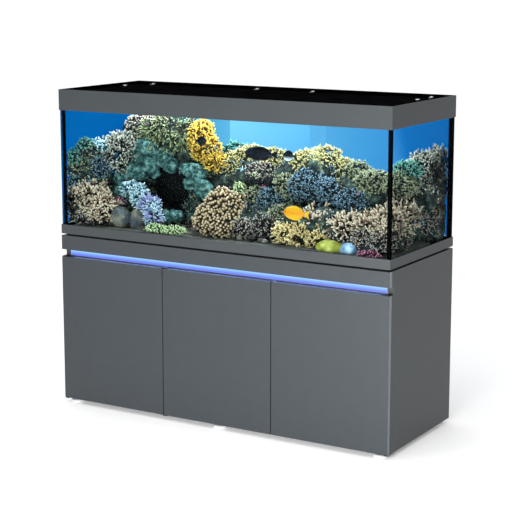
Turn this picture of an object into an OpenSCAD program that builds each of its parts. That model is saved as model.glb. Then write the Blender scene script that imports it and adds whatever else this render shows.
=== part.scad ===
// Reef aquarium on a three-door cabinet.
// Origin: centre of the footprint on the floor. +X to the viewer's right, -Y to the front, +Z up.

/* [Overall] */
// Width of the cabinet and of the tank frames
width = 1600; // [1400:20:1800]
// Depth from the door fronts to the back panel
depth = 600; // [560:10:700]
// Height of the cabinet top above the floor
cabinet_h = 760; // [740:10:860]
// Height of the hood rim above the floor
total_h = 1400; // [1380:10:1500]

/* [Cabinet boards] */
// Thickness of the carcass boards
board = 19; // [16:1:22]
// Thickness of the top board that carries the tank
top_board = 25; // [19:1:30]
// Thickness of the back board
back_board = 8; // [5:1:12]
// Thickness of the three doors
door_t = 18; // [16:1:19]
// Gap between two neighbouring doors
door_gap = 4; // [4:0.5:6]
// Height of the fascia board above the grip channel
fascia_h = 63; // [50:1:80]
// Height of the lit grip channel
channel_h = 31; // [28:1:36]
// Height of the levelling feet under the carcass
foot_h = 20; // [18:1:30]

/* [Tank] */
// Thickness of the four wall panes
glass_t = 12; // [10:1:15]
// Thickness of the bottom pane
bottom_t = 15; // [12:1:19]
// Height of the frame band around the foot of the tank
band_h = 40; // [30:1:50]
// Height of the hood band around the top of the tank
hood_h = 90; // [70:5:120]
// Wall of the hood and of the base frame
trim_t = 4; // [3:0.5:6]
// Thickness of the foam mat under the tank
mat_t = 8; // [5:1:10]

/* [Life support] */
// Height of the sump walls
sump_h = 400; // [300:10:420]
// Outer diameter of the drain pipe
drain_d = 40; // [32:1:50]
// Outer diameter of the return pipe
return_d = 25; // [20:1:32]

/* [Hidden] */
$fn = 64;

lacquer = [0.37, 0.39, 0.40];
dark_board = [0.30, 0.32, 0.33];
black = [0.04, 0.04, 0.05];
steel = [0.72, 0.73, 0.75];
glass = [0.55, 0.75, 0.85, 0.35];

hw = width / 2;
hd = depth / 2;
glue = 0.2;                      // adhesive line between bonded plates

// Cabinet
carcass_front = -hd + 20;        // door thickness plus the bumper gap
carcass_back = hd - back_board;
inner_x = hw - board;            // inner face of a side panel
divider_x = width / 6;           // centre of a divider, on a door gap
floor_z = foot_h;
inside_z = floor_z + board;
fascia_z = cabinet_h - fascia_h;
channel_z = fascia_z - channel_h;
top_under = cabinet_h - top_board;
bay_left = [-inner_x, -divider_x - board / 2];
bay_middle = [-divider_x + board / 2, divider_x - board / 2];
bay_right = [divider_x + board / 2, inner_x];
notch_deep = 18;                 // the lit profile runs through this notch in the dividers
notch_side = 12;                 // open end of the grip channel in the side panels
hose_d = 90;                     // clearance hole for a pipe in boards and mat
cutout = [260, 140];             // hose cut-out in the back board, behind the sump
port_r = 40;                     // cable port in the back board of each outer bay
service_z = 560;                 // height of the ports and of the cut-out's middle
port_x = (divider_x + inner_x) / 2;
shelf_z = 330;

// Doors turn on pins near their hinge edge
pin_in = 6;                      // from the hinge edge
pin_back = 7;                    // from the door's front face
pin_r = 2.5;
bush_r = 4;
bush_len = 26;
door_z = floor_z + 2;
door_top = channel_z - 1.5;
pin_y = -hd + pin_back;
left_pin_x = -hw + pin_in;
middle_pin_x = -divider_x + door_gap / 2 + pin_in;
right_pin_x = hw - pin_in;

// Feet
foot_r = 30;
foot_x = hw - 45;
foot_y = hd - 38;
stud_r = 5;

// Tank
mat_z = cabinet_h;
tank_z = mat_z + mat_t;
lip_t = 3;                       // bottom flange of the base frame, under the glass
lip_w = 20;
pane_z = tank_z + lip_t;         // underside of the bottom pane
wall_z = pane_z + bottom_t;
wall_top = total_h - 30;
gx = hw - trim_t;                // outer face of the end panes
gy = hd - trim_t;                // outer face of the long panes
seam = 1.5;                      // silicone line between two panes
bead = 8;                        // silicone fillet inside a corner
hood_z = total_h - hood_h;
liner_w = 16;
liner_h = 12;
liner_top = wall_top + liner_h;
flap_t = 4;
flap_rest = 8;                   // how far a flap lies on the liner
flap_z = liner_top + 0.3;
flap_top = flap_z + flap_t;
hinge_y = hd - 26;
hinge_z = flap_top + 2.7;
hinge_xs = [140, 700];
knob_x = 724;
knob_y = 86;
brace_w = 50;
brace_t = 10;

// Overflow shaft and pipes
shaft_x = 200;
shaft_front = 140;
shaft_top = wall_top - 40;
shaft_t = 5;
pipe_y = 210;
drain_x = -120;
return_x = 120;
nozzle_y = 117;
nozzle_z = shaft_top + 15;
ball_r = 12;
valve_z = 590;
lever_y = pipe_y - 44;

// Sump and its equipment
sump_x = 240;
sump_front = -240;
sump_back = 260;
sump_t = 8;
sump_z = inside_z;
sump_floor = sump_z + sump_t;
sump_top = sump_z + sump_h;
sock_y = 190;
sock_r = 50;
skim_x = -100;
skim_y = -90;
pump_x = 150;
pump_z = sump_floor + 48;

// ---- shared shapes ----
module block(x, y, z) {
    translate([x[0], y[0], z[0]]) cube([x[1] - x[0], y[1] - y[0], z[1] - z[0]]);
}

module rod(r, z0, z1, at = [0, 0]) {
    translate([at[0], at[1], z0]) cylinder(r = r, h = z1 - z0);
}

module tube(r_out, r_in, z0, z1, at = [0, 0]) {
    difference() {
        rod(r_out, z0, z1, at);
        rod(r_in, z0 - 1, z1 + 1, at);
    }
}

// A cylinder along Y from y0 to y1
module rod_y(r, y0, y1, x, z) {
    translate([x, y1, z]) rotate([90, 0, 0]) cylinder(r = r, h = y1 - y0);
}

// A cylinder along X, centred on x
module rod_x(r, length, x, y, z) {
    translate([x - length / 2, y, z]) rotate([0, 90, 0]) cylinder(r = r, h = length);
}

// An upright board with the grip channel notched out of its front edge
module notched_board(x, z, back, notch) {
    difference() {
        block(x, [carcass_front, back], z);
        block([x[0] - 1, x[1] + 1], [carcass_front - 1, carcass_front + notch], [channel_z, fascia_z]);
    }
}

// ---- cabinet ----
module bottom_panel() {
    color(dark_board) difference() {
        block([-inner_x, inner_x], [carcass_front, carcass_back], [floor_z, inside_z]);
        for (x = [-foot_x, 0, foot_x], y = [-foot_y, foot_y])
            rod(stud_r + 3, floor_z - 1, inside_z + 1, [x, y]);
    }
}

module side_panel(side) {
    x = side < 0 ? [-hw, -inner_x] : [inner_x, hw];
    color(lacquer) notched_board(x, [floor_z, cabinet_h], hd, notch_side);
}

module dividers_and_shelf() {
    color(dark_board) {
        for (x = [-divider_x, divider_x])
            notched_board([x - board / 2, x + board / 2], [inside_z, top_under], carcass_back, notch_deep);
        block([bay_right[0] + 2, bay_right[1] - 2], [-230, 280], [shelf_z, shelf_z + board]);
    }
}

module top_panel() {
    color(dark_board) difference() {
        block([-inner_x, inner_x], [carcass_front, carcass_back], [top_under, cabinet_h]);
        for (x = [drain_x, return_x]) rod(hose_d / 2, top_under - 1, cabinet_h + 1, [x, pipe_y]);
    }
}

module back_panel() {
    color(dark_board) difference() {
        block([-inner_x, inner_x], [carcass_back, hd], [floor_z, cabinet_h]);
        block([-cutout[0] / 2, cutout[0] / 2], [carcass_back - 1, hd + 1],
              [service_z - cutout[1] / 2, service_z + cutout[1] / 2]);
        for (x = [-port_x, port_x]) rod_y(port_r, carcass_back - 1, hd + 1, x, service_z);
    }
}

module fascia_rail() {
    color(lacquer) block([-hw, hw], [-hd, carcass_front], [fascia_z, cabinet_h]);
}

module channel_rail() {
    color(dark_board) for (bay = [bay_left, bay_middle, bay_right])
        block(bay, [carcass_front + notch_deep, carcass_front + notch_deep + board], [channel_z - 26, top_under]);
}

// Aluminium profile with a slot for the diffuser, lying against the rails
led_x = inner_x - 6;
strap_t = 2;                      // steel straps of the door pins, under the profile
led_z = [channel_z + strap_t + 0.3, fascia_z];
led_lip = 1.2;                    // lower lip of the profile
led_back = carcass_front + notch_deep;
module led_profile() {
    color([0.5, 0.5, 0.53]) difference() {
        block([-led_x, led_x], [led_back - 8, led_back], led_z);
        block([-led_x + 2, led_x - 2], [led_back - 9, led_back - 2], [led_z[0] + led_lip, led_z[1] - 2]);
    }
}

module led_diffuser() {
    color([0.35, 0.5, 1]) block([-led_x + 2.2, led_x - 2.2], [led_back - 9, led_back - 2.2],
                                [led_z[0] + led_lip + 0.2, led_z[1] - 2.2]);
}

module led_driver() {
    color(black) block([430, 590], [120, 180], [top_under - 32, top_under]);
}

// ---- doors ----
module door(x, pin_x) {
    color(lacquer) difference() {
        block(x, [-hd, -hd + door_t], [door_z, door_top]);
        rod(bush_r, door_z - 1, door_z + bush_len, [pin_x, pin_y]);
        rod(bush_r, door_top - bush_len, door_top + 1, [pin_x, pin_y]);
    }
}

// Two nylon bushes let into the door's edges, and the strike plate of its magnet
module door_fittings(pin_x, strike_x) {
    color([0.85, 0.85, 0.82]) {
        tube(bush_r, pin_r + 0.05, door_z, door_z + bush_len, [pin_x, pin_y]);
        tube(bush_r, pin_r + 0.05, door_top - bush_len, door_top, [pin_x, pin_y]);
    }
    color(steel) block([strike_x - 20, strike_x + 20], [-hd + door_t, -hd + door_t + 1],
                       [door_top - 28, door_top - 12]);
}

// Flat steel straps on the carcass; each carries one pin of a door
module pivot_bracket(x, pin_x, seat) {
    color(steel) {
        union() {
            block(x, [-hd + 3, carcass_front + seat], [channel_z, channel_z + strap_t]);
            rod(pin_r, door_top - bush_len + 4, channel_z + 1, [pin_x, pin_y]);
        }
        union() {
            block(x, [-hd + 3, carcass_front + 34], [floor_z - 2, floor_z]);
            rod(pin_r, floor_z - 1, door_z + bush_len - 4, [pin_x, pin_y]);
        }
    }
}

module pivot_brackets() {
    pivot_bracket([-hw + 1, -inner_x - 1], left_pin_x, notch_side);
    pivot_bracket([-divider_x - 8, -divider_x + 15], middle_pin_x, notch_deep);
    pivot_bracket([inner_x + 1, hw - 1], right_pin_x, notch_side);
}

// Magnet housings under the rail, behind each strike plate
strike_xs = [-divider_x - 70, divider_x - 70, divider_x + 70];
module door_magnets() {
    color(black) for (x = strike_xs)
        block([x - 22, x + 22], [-hd + door_t + 1.5, carcass_front + notch_deep], [door_top - 30, door_top - 10]);
}

// ---- feet ----
module foot(x, y) {
    color([0.86, 0.87, 0.88]) translate([x, y, 0]) {
        rotate_extrude() polygon([
            [0, 0], [foot_r - 2, 0], [foot_r, 2], [foot_r, 11], [foot_r - 5, 14],
            [14, 14], [14, 17], [stud_r, 17], [stud_r, 34], [0, 34]
        ]);
    }
}

// Threaded sockets for the feet, and the four pins that carry the shelf
module steel_inserts() {
    color(steel) {
        for (x = [-foot_x, 0, foot_x], y = [-foot_y, foot_y])
            tube(stud_r + 3, stud_r + 0.08, floor_z, inside_z - 1, [x, y]);
        for (x = [bay_right[0], bay_right[1] - 12], y = [-180, 230])
            block([x, x + 12], [y - 4, y + 4], [shelf_z - 6, shelf_z]);
    }
}

// ---- tank ----
module safety_mat() {
    color(black) difference() {
        union() {
            block([-hw + 17, hw - 17], [-hd + 17, hd - 17], [mat_z, tank_z]);
            block([-gx + lip_w, gx - lip_w], [-gy + lip_w, gy - lip_w], [tank_z, pane_z]);
        }
        for (x = [drain_x, return_x]) rod(hose_d / 2, mat_z - 1, pane_z + 1, [x, pipe_y]);
    }
}

// Four mitred lengths of an L-shaped profile: outer band and a lip under the glass
module base_frame() {
    color(lacquer) for (quarter = [0:3]) {
        half = quarter % 2 == 0 ? [hw, hd] : [hd, hw];
        rotate([0, 0, 90 * quarter]) intersection() {
            union() {
                block([-half[0], half[0]], [-half[1], -half[1] + trim_t], [tank_z, tank_z + band_h]);
                block([-half[0], half[0]], [-half[1] + trim_t - 1, -half[1] + lip_w], [tank_z, pane_z]);
            }
            translate([0, 0, tank_z - 1]) linear_extrude(band_h + 2) polygon([
                [-half[0] + 0.15, -half[1]], [half[0] - 0.15, -half[1]],
                [half[0] - lip_w - 0.15, -half[1] + lip_w], [-half[0] + lip_w + 0.15, -half[1] + lip_w]
            ]);
        }
    }
}

module bottom_glass() {
    color(glass) difference() {
        block([-gx, gx], [-gy, gy], [pane_z, wall_z]);
        rod(drain_d / 2 + 6, pane_z - 1, wall_z + 1, [drain_x, pipe_y]);
        rod(return_d / 2 + 6, pane_z - 1, wall_z + 1, [return_x, pipe_y]);
    }
}

module long_pane(side) {
    y = side < 0 ? [-gy, -gy + glass_t] : [gy - glass_t, gy];
    color(glass) block([-gx, gx], y, [wall_z, wall_top]);
}

module end_pane(side) {
    x = side < 0 ? [-gx, -gx + glass_t] : [gx - glass_t, gx];
    color(glass) block(x, [-gy + glass_t + seam, gy - glass_t - seam], [wall_z, wall_top]);
}

// Black silicone: the line between the panes and a fillet inside each corner
module silicone_seams() {
    color(black) for (sx = [-1, 1], sy = [-1, 1])
        translate([sx * gx, sy * (gy - glass_t), wall_z])
            linear_extrude(wall_top - wall_z) polygon([
                [0, 0], [-sx * (glass_t + bead), 0],
                [-sx * glass_t, -sy * (seam + bead)], [-sx * glass_t, -sy * seam], [0, -sy * seam]
            ]);
}

// Glass strips that keep the long panes from bowing
brace_z = wall_top - 20;
brace_y = gy - glass_t;
module glass_braces() {
    color(glass) {
        for (y = [[-brace_y, -brace_y + brace_w], [brace_y - brace_w, brace_y]])
            block([-gx + glass_t + bead + 1, gx - glass_t - bead - 1], y, [brace_z, brace_z + brace_t]);
        for (x = [-divider_x, divider_x])
            block([x - 50, x + 50], [-brace_y + brace_w + glue, brace_y - brace_w - glue],
                  [brace_z, brace_z + brace_t]);
    }
}

// Coloured film on the outside of the back pane and of the left end pane
film_t = 0.5;
module background_film() {
    z = [tank_z + band_h + 2, hood_z - 2];
    color([0.05, 0.35, 0.75]) {
        block([-gx, gx], [gy, gy + film_t], z);
        block([-gx - film_t, -gx], [-gy + 2, gy - 2], z);
    }
}

// ---- hood ----
module hood_panels() {
    color(lacquer) for (quarter = [0:3]) {
        half = quarter % 2 == 0 ? [hw, hd] : [hd, hw];
        rotate([0, 0, 90 * quarter]) translate([0, 0, hood_z]) linear_extrude(hood_h) polygon([
            [-half[0] + 0.15, -half[1]], [half[0] - 0.15, -half[1]],
            [half[0] - trim_t - 0.15, -half[1] + trim_t], [-half[0] + trim_t + 0.15, -half[1] + trim_t]
        ]);
    }
}

// Black bars on top of the panes; the flaps lie on them
module hood_liner() {
    color(black) {
        for (y = [[-gy, -gy + liner_w], [gy - liner_w, gy]])
            block([-gx, gx], y, [wall_top, liner_top]);
        for (x = [[-gx, -gx + liner_w], [-14, 14], [gx - liner_w, gx]])
            block(x, [-gy + liner_w + glue, gy - liner_w - glue], [wall_top, liner_top]);
    }
}

module flap(side) {
    x = [3, gx - liner_w + flap_rest];
    color(black) block(side > 0 ? x : [-x[1], -x[0]], [-gy + liner_w - flap_rest, hinge_y - 6],
                       [flap_z, flap_top]);
}

// Hinge knuckles with their leaves, and the lifting knob
module flap_fittings(side) {
    color(steel) for (x = hinge_xs) difference() {
        union() {
            rod_x(3.1, 11, side * x, hinge_y, hinge_z);
            block([side * x - 5.5, side * x + 5.5], [hinge_y - 26, hinge_y - 1], [flap_top, flap_top + 1.6]);
        }
        rod_x(1.55, 13, side * x, hinge_y, hinge_z);
    }
    color(steel) translate([side * knob_x, knob_y, flap_top]) rotate_extrude() polygon([
        [0, 0], [5, 0], [5, 3], [9, 5], [9, 8], [7, 10], [0, 10]
    ]);
}

module flap_hinge_brackets() {
    color(steel) for (side = [-1, 1], x = hinge_xs) union() {
        block([side * x - 10, side * x + 10], [hinge_y + 5, gy], [liner_top, hinge_z + 3.1]);
        for (e = [-8.5, 8.5])
            block([side * x + e - 1.5, side * x + e + 1.5], [hinge_y - 3, hinge_y + 6],
                  [flap_top + 0.4, hinge_z + 3.1]);
        rod_x(1.5, 20, side * x, hinge_y, hinge_z);
    }
}

// Two flat lamps lying on the cross braces, under the middle bar of the liner
bar_z = [brace_z + brace_t, liner_top - liner_h - 0.5];
module light_bars() {
    color([0.6, 0.6, 0.62]) for (y = [-110, 40]) difference() {
        block([-740, 740], [y - 25, y + 25], bar_z);
        block([-730, 730], [y - 20, y + 20], [bar_z[0] - 1, bar_z[0] + 2]);
    }
}

// ---- reef ----
sand_top = wall_z + 24;
rx = gx - glass_t - 12;
module sand_bed() {
    color([0.86, 0.82, 0.72]) difference() {
        block([-rx, rx], [-gy + glass_t + 10, gy - glass_t - 10], [wall_z, sand_top]);
        block([-shaft_x - 10, shaft_x + 10], [shaft_front - 10, gy], [wall_z - 1, sand_top + 1]);
    }
}

// A boulder: the hull of balls given as [x, y, height above the sand, radius]
module boulder(balls) {
    hull() for (b = balls) translate([b[0], b[1], sand_top + b[2]]) sphere(r = b[3], $fn = 20);
}

module reef_left() {
    color([0.42, 0.42, 0.38]) {
        boulder([[-680, -50, 130, 80], [-610, 60, 210, 90], [-680, 150, 120, 80]]);
        boulder([[-560, 30, 90, 90], [-480, 40, 325, 110], [-370, 50, 330, 95], [-310, 50, 200, 85]]);
        boulder([[-300, 10, 75, 75], [-300, 40, 160, 70]]);
    }
}

module reef_right() {
    color([0.45, 0.43, 0.38]) {
        boulder([[-110, 0, 100, 100], [20, 10, 235, 100], [190, 10, 225, 110], [300, 20, 245, 105]]);
        boulder([[360, 0, 110, 110], [460, 20, 205, 110], [570, 0, 170, 110], [650, -60, 90, 90]]);
        boulder([[-70, -130, 90, 80], [300, -150, 72, 70], [630, -140, 80, 75]]);
    }
}

// ---- overflow ----
deep_blue = [0.05, 0.35, 0.65];
module overflow_box() {
    color(deep_blue) {
        block([-shaft_x, shaft_x], [shaft_front, shaft_front + shaft_t], [wall_z, shaft_top]);
        for (x = [[-shaft_x, -shaft_x + shaft_t], [shaft_x - shaft_t, shaft_x]])
            block(x, [shaft_front + shaft_t + glue, gy - glass_t], [wall_z, shaft_top]);
    }
}

// A comb hooked over the front wall of the shaft
comb_x = [-shaft_x + 8, return_x - 30];
module overflow_comb() {
    slots = floor((comb_x[1] - comb_x[0] - 12) / 12);
    color(deep_blue) difference() {
        union() {
            block(comb_x, [shaft_front - 5.5, shaft_front - 0.5], [shaft_top - 50, shaft_top + 4]);
            block(comb_x, [shaft_front - 5.5, shaft_front + shaft_t + 4], [shaft_top + 0.5, shaft_top + 4]);
        }
        for (i = [0:slots - 1])
            block([comb_x[0] + 10 + 12 * i, comb_x[0] + 14 + 12 * i],
                  [shaft_front - 6, shaft_front + 1], [shaft_top - 36, shaft_top - 6]);
    }
}

// Flange and nut that seal a pipe in the bottom pane
module bulkhead(x, r) {
    tube(r + 16, r + 0.2, wall_z, wall_z + 8, [x, pipe_y]);
    tube(r + 5.5, r + 0.2, pane_z + glue, wall_z - glue, [x, pipe_y]);
    tube(r + 16, r + 0.2, pane_z - 14, pane_z, [x, pipe_y]);
}

module drain_pipe() {
    r = drain_d / 2;
    color([0.35, 0.36, 0.38]) {
        tube(r, r - 3, sump_top - 60, shaft_top - 45, [drain_x, pipe_y]);
        bulkhead(drain_x, r);
    }
}

// Riser in two lengths with a ball valve between them, and the outlet over the shaft's front wall
module return_pipe() {
    r = return_d / 2;
    at = [return_x, pipe_y];
    color([0.35, 0.36, 0.38]) {
        tube(r, r - 2.5, pump_z + 66, valve_z - 26, at);
        tube(r, r - 2.5, valve_z + 26, nozzle_z - r, at);
        bulkhead(return_x, r);
    }
    color([0.25, 0.26, 0.28]) {
        difference() {
            union() {
                rod(r + 7, valve_z - 40, valve_z + 40, at);
                rod_y(r + 5, pipe_y - 34, pipe_y, return_x, valve_z);
                rod_y(5, pipe_y - 52, pipe_y - 30, return_x, valve_z);
            }
            rod(r + 0.2, valve_z - 41, valve_z - 25, at);
            rod(r + 0.2, valve_z + 25, valve_z + 41, at);
            rod(r - 3, valve_z - 30, valve_z + 30, at);
        }
        difference() {
            union() {
                rod(r + 4, nozzle_z - 36, nozzle_z, at);
                translate([return_x, pipe_y, nozzle_z]) sphere(r = r + 4);
                rod_y(r, nozzle_y + 10, pipe_y, return_x, nozzle_z);
                rod_y(ball_r + 3, nozzle_y, nozzle_y + 14, return_x, nozzle_z);
            }
            rod(r + 0.2, nozzle_z - 37, nozzle_z - r + 0.2, at);
            translate([return_x, nozzle_y, nozzle_z]) sphere(r = ball_r + 0.06);
            rod_y(r - 4, nozzle_y, pipe_y, return_x, nozzle_z);
            rod(r - 4, nozzle_z - 20, nozzle_z, at);
        }
    }
}

// Fan nozzle on a ball, turning about the upright axis of the ball
module return_nozzle() {
    color(black) difference() {
        union() {
            translate([return_x, nozzle_y, nozzle_z]) rotate([90, 0, 0]) rotate_extrude() union() {
                intersection() {
                    circle(r = ball_r);
                    translate([0, -9]) square([ball_r, 9 + ball_r]);
                }
                square([ball_r - 4, 34]);
            }
            block([return_x - 22, return_x + 22], [nozzle_y - 52, nozzle_y - 30], [nozzle_z - 8, nozzle_z + 8]);
        }
        rod_y(ball_r - 7, nozzle_y - 36, nozzle_y + ball_r, return_x, nozzle_z);
        block([return_x - 19, return_x + 19], [nozzle_y - 53, nozzle_y - 33], [nozzle_z - 5, nozzle_z + 5]);
    }
}

module valve_lever() {
    color([0.75, 0.1, 0.08]) difference() {
        union() {
            rod_y(11, lever_y - 6, lever_y, return_x, valve_z);
            block([return_x - 8, return_x + 8], [lever_y - 6, lever_y], [valve_z, valve_z + 82]);
        }
        rod_y(5.06, lever_y - 7, lever_y + 1, return_x, valve_z);
    }
}

// ---- sump ----
module sump_tank() {
    color(glass) {
        block([-sump_x, sump_x], [sump_front, sump_back], [sump_z, sump_floor]);
        for (y = [[sump_front, sump_front + sump_t], [sump_back - sump_t, sump_back]])
            block([-sump_x, sump_x], y, [sump_floor + glue, sump_top]);
        for (x = [[-sump_x, -sump_x + sump_t], [sump_x - sump_t, sump_x]])
            block(x, [sump_front + sump_t + glue, sump_back - sump_t - glue], [sump_floor + glue, sump_top]);
        for (b = [[34, 60, 300], [64, 0.2, 250]])
            block([b[0], b[0] + 6], [sump_front + sump_t + glue, sump_back - sump_t - glue],
                  [sump_floor + b[1], sump_floor + b[2]]);
    }
}

// Holder plate on the rim of the sump, with the sock hanging in it
module filter_sock() {
    color([0.3, 0.3, 0.32]) difference() {
        block([-sump_x + 1, -30], [sock_y - 62, sump_back - 1], [sump_top + glue, sump_top + 5]);
        rod(sock_r + 1, sump_top - 1, sump_top + 6, [drain_x, sock_y]);
    }
    color("white") translate([drain_x, sock_y, 0]) rotate_extrude() polygon([
        [0, sump_top - 170], [sock_r - 12, sump_top - 166], [sock_r, sump_top - 150],
        [sock_r, sump_top + 5.2], [sock_r + 6, sump_top + 5.2], [sock_r + 6, sump_top + 9],
        [sock_r - 2, sump_top + 9], [sock_r - 2, sump_top - 149], [sock_r - 13, sump_top - 164],
        [0, sump_top - 168]
    ]);
}

// Reaction tube with its cone and neck, and the feed pump at its foot
skim_r = 58;
neck_r = 26;
neck_z = sump_floor + 350;
module skimmer_body() {
    color([0.7, 0.8, 0.85]) translate([skim_x, skim_y, sump_floor]) rotate_extrude() polygon([
        [0, 0], [skim_r + 8, 0], [skim_r + 8, 8], [skim_r, 8], [skim_r, 270], [neck_r, 320],
        [neck_r, 350], [neck_r - 3, 350], [neck_r - 3, 319], [skim_r - 4, 268], [skim_r - 4, 12], [0, 12]
    ]);
    color(black) rod_y(24, skim_y + skim_r + 10, skim_y + skim_r + 80, skim_x, sump_floor + 26);
}

module skimmer_cup() {
    color([0.75, 0.82, 0.85]) translate([skim_x, skim_y, neck_z - 24]) rotate_extrude() polygon([
        [neck_r + 0.4, 0], [neck_r + 4, 0], [neck_r + 4, 20], [54, 20], [54, 86], [51, 86],
        [51, 24], [neck_r + 4, 24], [neck_r - 2, 34], [neck_r - 2, 70], [neck_r - 5, 70],
        [neck_r - 5, 24.6], [neck_r + 0.4, 24.6]
    ]);
    color(black) tube(56, 6, neck_z + 62.2, neck_z + 70, [skim_x, skim_y]);
}

// ---- return pump ----
volute_y = [pipe_y - 22, pipe_y + 22];
module return_pump() {
    color(black) difference() {
        union() {
            rod_y(42, volute_y[0], volute_y[1], pump_x, pump_z);
            rod_y(34, volute_y[0] - 110, volute_y[0] + 1, pump_x, pump_z);
            rod(16, pump_z, pump_z + 80, [return_x, pipe_y]);
            block([pump_x - 40, pump_x + 40], [volute_y[0] - 100, volute_y[1] - 4], [sump_floor, sump_floor + 14]);
        }
        rod_y(35, volute_y[0] + 5, volute_y[1] - 5, pump_x, pump_z);
        rod_y(18, volute_y[0] - 90, volute_y[0] + 6, pump_x, pump_z);
        rod_y(14, volute_y[1] - 6, volute_y[1] + 1, pump_x, pump_z);
        rod(9, pump_z + 2, pump_z + 70, [return_x, pipe_y]);
        rod(return_d / 2 + 0.2, pump_z + 64, pump_z + 81, [return_x, pipe_y]);
    }
}

module pump_impeller() {
    color([0.8, 0.8, 0.78]) {
        rod_y(16, volute_y[0] - 86, volute_y[0] + 8, pump_x, pump_z);
        rod_y(29, volute_y[0] + 8, volute_y[0] + 11, pump_x, pump_z);
        rod_y(8, volute_y[0] + 11, volute_y[1] - 9, pump_x, pump_z);
        for (a = [0:60:300]) translate([pump_x, 0, pump_z]) rotate([0, a, 0])
            block([7, 29], [volute_y[0] + 10, volute_y[1] - 12], [-1.5, 1.5]);
    }
}

// Glass heater with its cap, held off the wall of the sump by two rubber feet
heater_at = [sump_x - sump_t - 24, -60];
module heater() {
    color(glass) rod(12, sump_floor + 12, sump_floor + 270, heater_at);
    color(black) {
        rod(14, sump_floor + 270, sump_floor + 310, heater_at);
        for (z = [60, 220]) difference() {
            union() {
                rod(17, sump_floor + z - 8, sump_floor + z + 8, heater_at);
                block([heater_at[0], sump_x - sump_t], [heater_at[1] - 8, heater_at[1] + 8],
                      [sump_floor + z - 8, sump_floor + z + 8]);
            }
            rod(12, sump_floor + z - 9, sump_floor + z + 9, heater_at);
        }
    }
}

bottom_panel();
side_panel(-1);  // left_side_panel
side_panel(1);  // right_side_panel
dividers_and_shelf();
top_panel();
back_panel();
fascia_rail();
channel_rail();
led_profile();
led_diffuser();
led_driver();
door([-hw, -divider_x - door_gap / 2], left_pin_x);  // left_door
door([-divider_x + door_gap / 2, divider_x - door_gap / 2], middle_pin_x);  // middle_door
door([divider_x + door_gap / 2, hw], right_pin_x);  // right_door
door_fittings(left_pin_x, strike_xs[0]);  // left_door_fittings
door_fittings(middle_pin_x, strike_xs[1]);  // middle_door_fittings
door_fittings(right_pin_x, strike_xs[2]);  // right_door_fittings
pivot_brackets();
door_magnets();
foot(-foot_x, -foot_y);  // foot_front_left
foot(0, -foot_y);  // foot_front_middle
foot(foot_x, -foot_y);  // foot_front_right
foot(-foot_x, foot_y);  // foot_rear_left
foot(0, foot_y);  // foot_rear_middle
foot(foot_x, foot_y);  // foot_rear_right
steel_inserts();
safety_mat();
base_frame();
bottom_glass();
long_pane(-1);  // front_glass
long_pane(1);  // back_glass
end_pane(-1);  // left_glass
end_pane(1);  // right_glass
silicone_seams();
glass_braces();
background_film();
hood_panels();
hood_liner();
flap(-1);  // left_flap
flap(1);  // right_flap
flap_fittings(-1);  // left_flap_fittings
flap_fittings(1);  // right_flap_fittings
flap_hinge_brackets();
light_bars();
sand_bed();
reef_left();
reef_right();
overflow_box();
overflow_comb();
drain_pipe();
return_pipe();
return_nozzle();
valve_lever();
sump_tank();
filter_sock();
skimmer_body();
skimmer_cup();
return_pump();
pump_impeller();
heater();
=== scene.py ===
# %% [markdown]
# # A reef aquarium on its cabinet
#
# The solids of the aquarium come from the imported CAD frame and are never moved. This lesson gives them
# their finishes, and grows the things that CAD can't: rock, coral, sand and fish. Everything is in metres,
# in the frame's own axes: X to the right, -Y to the front, Z up.

# %% Load the frame
import math

import bpy
import numpy as np
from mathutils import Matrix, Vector


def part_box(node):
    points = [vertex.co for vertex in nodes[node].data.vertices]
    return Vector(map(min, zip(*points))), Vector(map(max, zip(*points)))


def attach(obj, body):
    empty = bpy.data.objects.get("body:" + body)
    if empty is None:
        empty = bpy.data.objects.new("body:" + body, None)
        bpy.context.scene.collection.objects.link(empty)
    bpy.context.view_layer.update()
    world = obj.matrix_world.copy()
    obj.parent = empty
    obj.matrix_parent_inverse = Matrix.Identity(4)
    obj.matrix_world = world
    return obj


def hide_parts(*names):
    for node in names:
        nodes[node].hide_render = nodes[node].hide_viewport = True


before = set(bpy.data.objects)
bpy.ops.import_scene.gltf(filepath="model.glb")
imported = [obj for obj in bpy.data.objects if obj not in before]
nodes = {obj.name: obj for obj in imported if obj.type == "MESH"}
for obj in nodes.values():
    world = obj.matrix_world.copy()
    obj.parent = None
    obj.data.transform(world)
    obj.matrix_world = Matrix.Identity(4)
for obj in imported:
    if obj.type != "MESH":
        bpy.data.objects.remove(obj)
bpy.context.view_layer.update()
MM = 0.001
TANK_BODY = "cabinet_and_tank"

# %% [markdown]
# ## Studio and camera
#
# The object stands on a pale floor under a bright sky, as in a catalogue. The sky is dimmer to the
# right, and a large soft light at the front right makes the fronts brighten gently from left to right.
# A long lens from above eye height gives the quiet perspective of a product view.

# %% Camera
scene = bpy.context.scene
scene.view_settings.view_transform = "Standard"
camera = bpy.data.objects.new("camera", bpy.data.cameras.new("camera"))
scene.collection.objects.link(camera)
camera.data.sensor_width = 36
camera.data.lens = 104.5
camera.data.shift_y = -0.0488
camera.location = (3.244, -5.379, 1.911)
yaw, pitch = math.radians(-30.96), math.radians(9.99)
aim = Vector((math.sin(yaw) * math.cos(pitch), math.cos(yaw) * math.cos(pitch), -math.sin(pitch)))
camera.rotation_euler = aim.to_track_quat("-Z", "Y").to_euler()
scene.camera = camera

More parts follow.
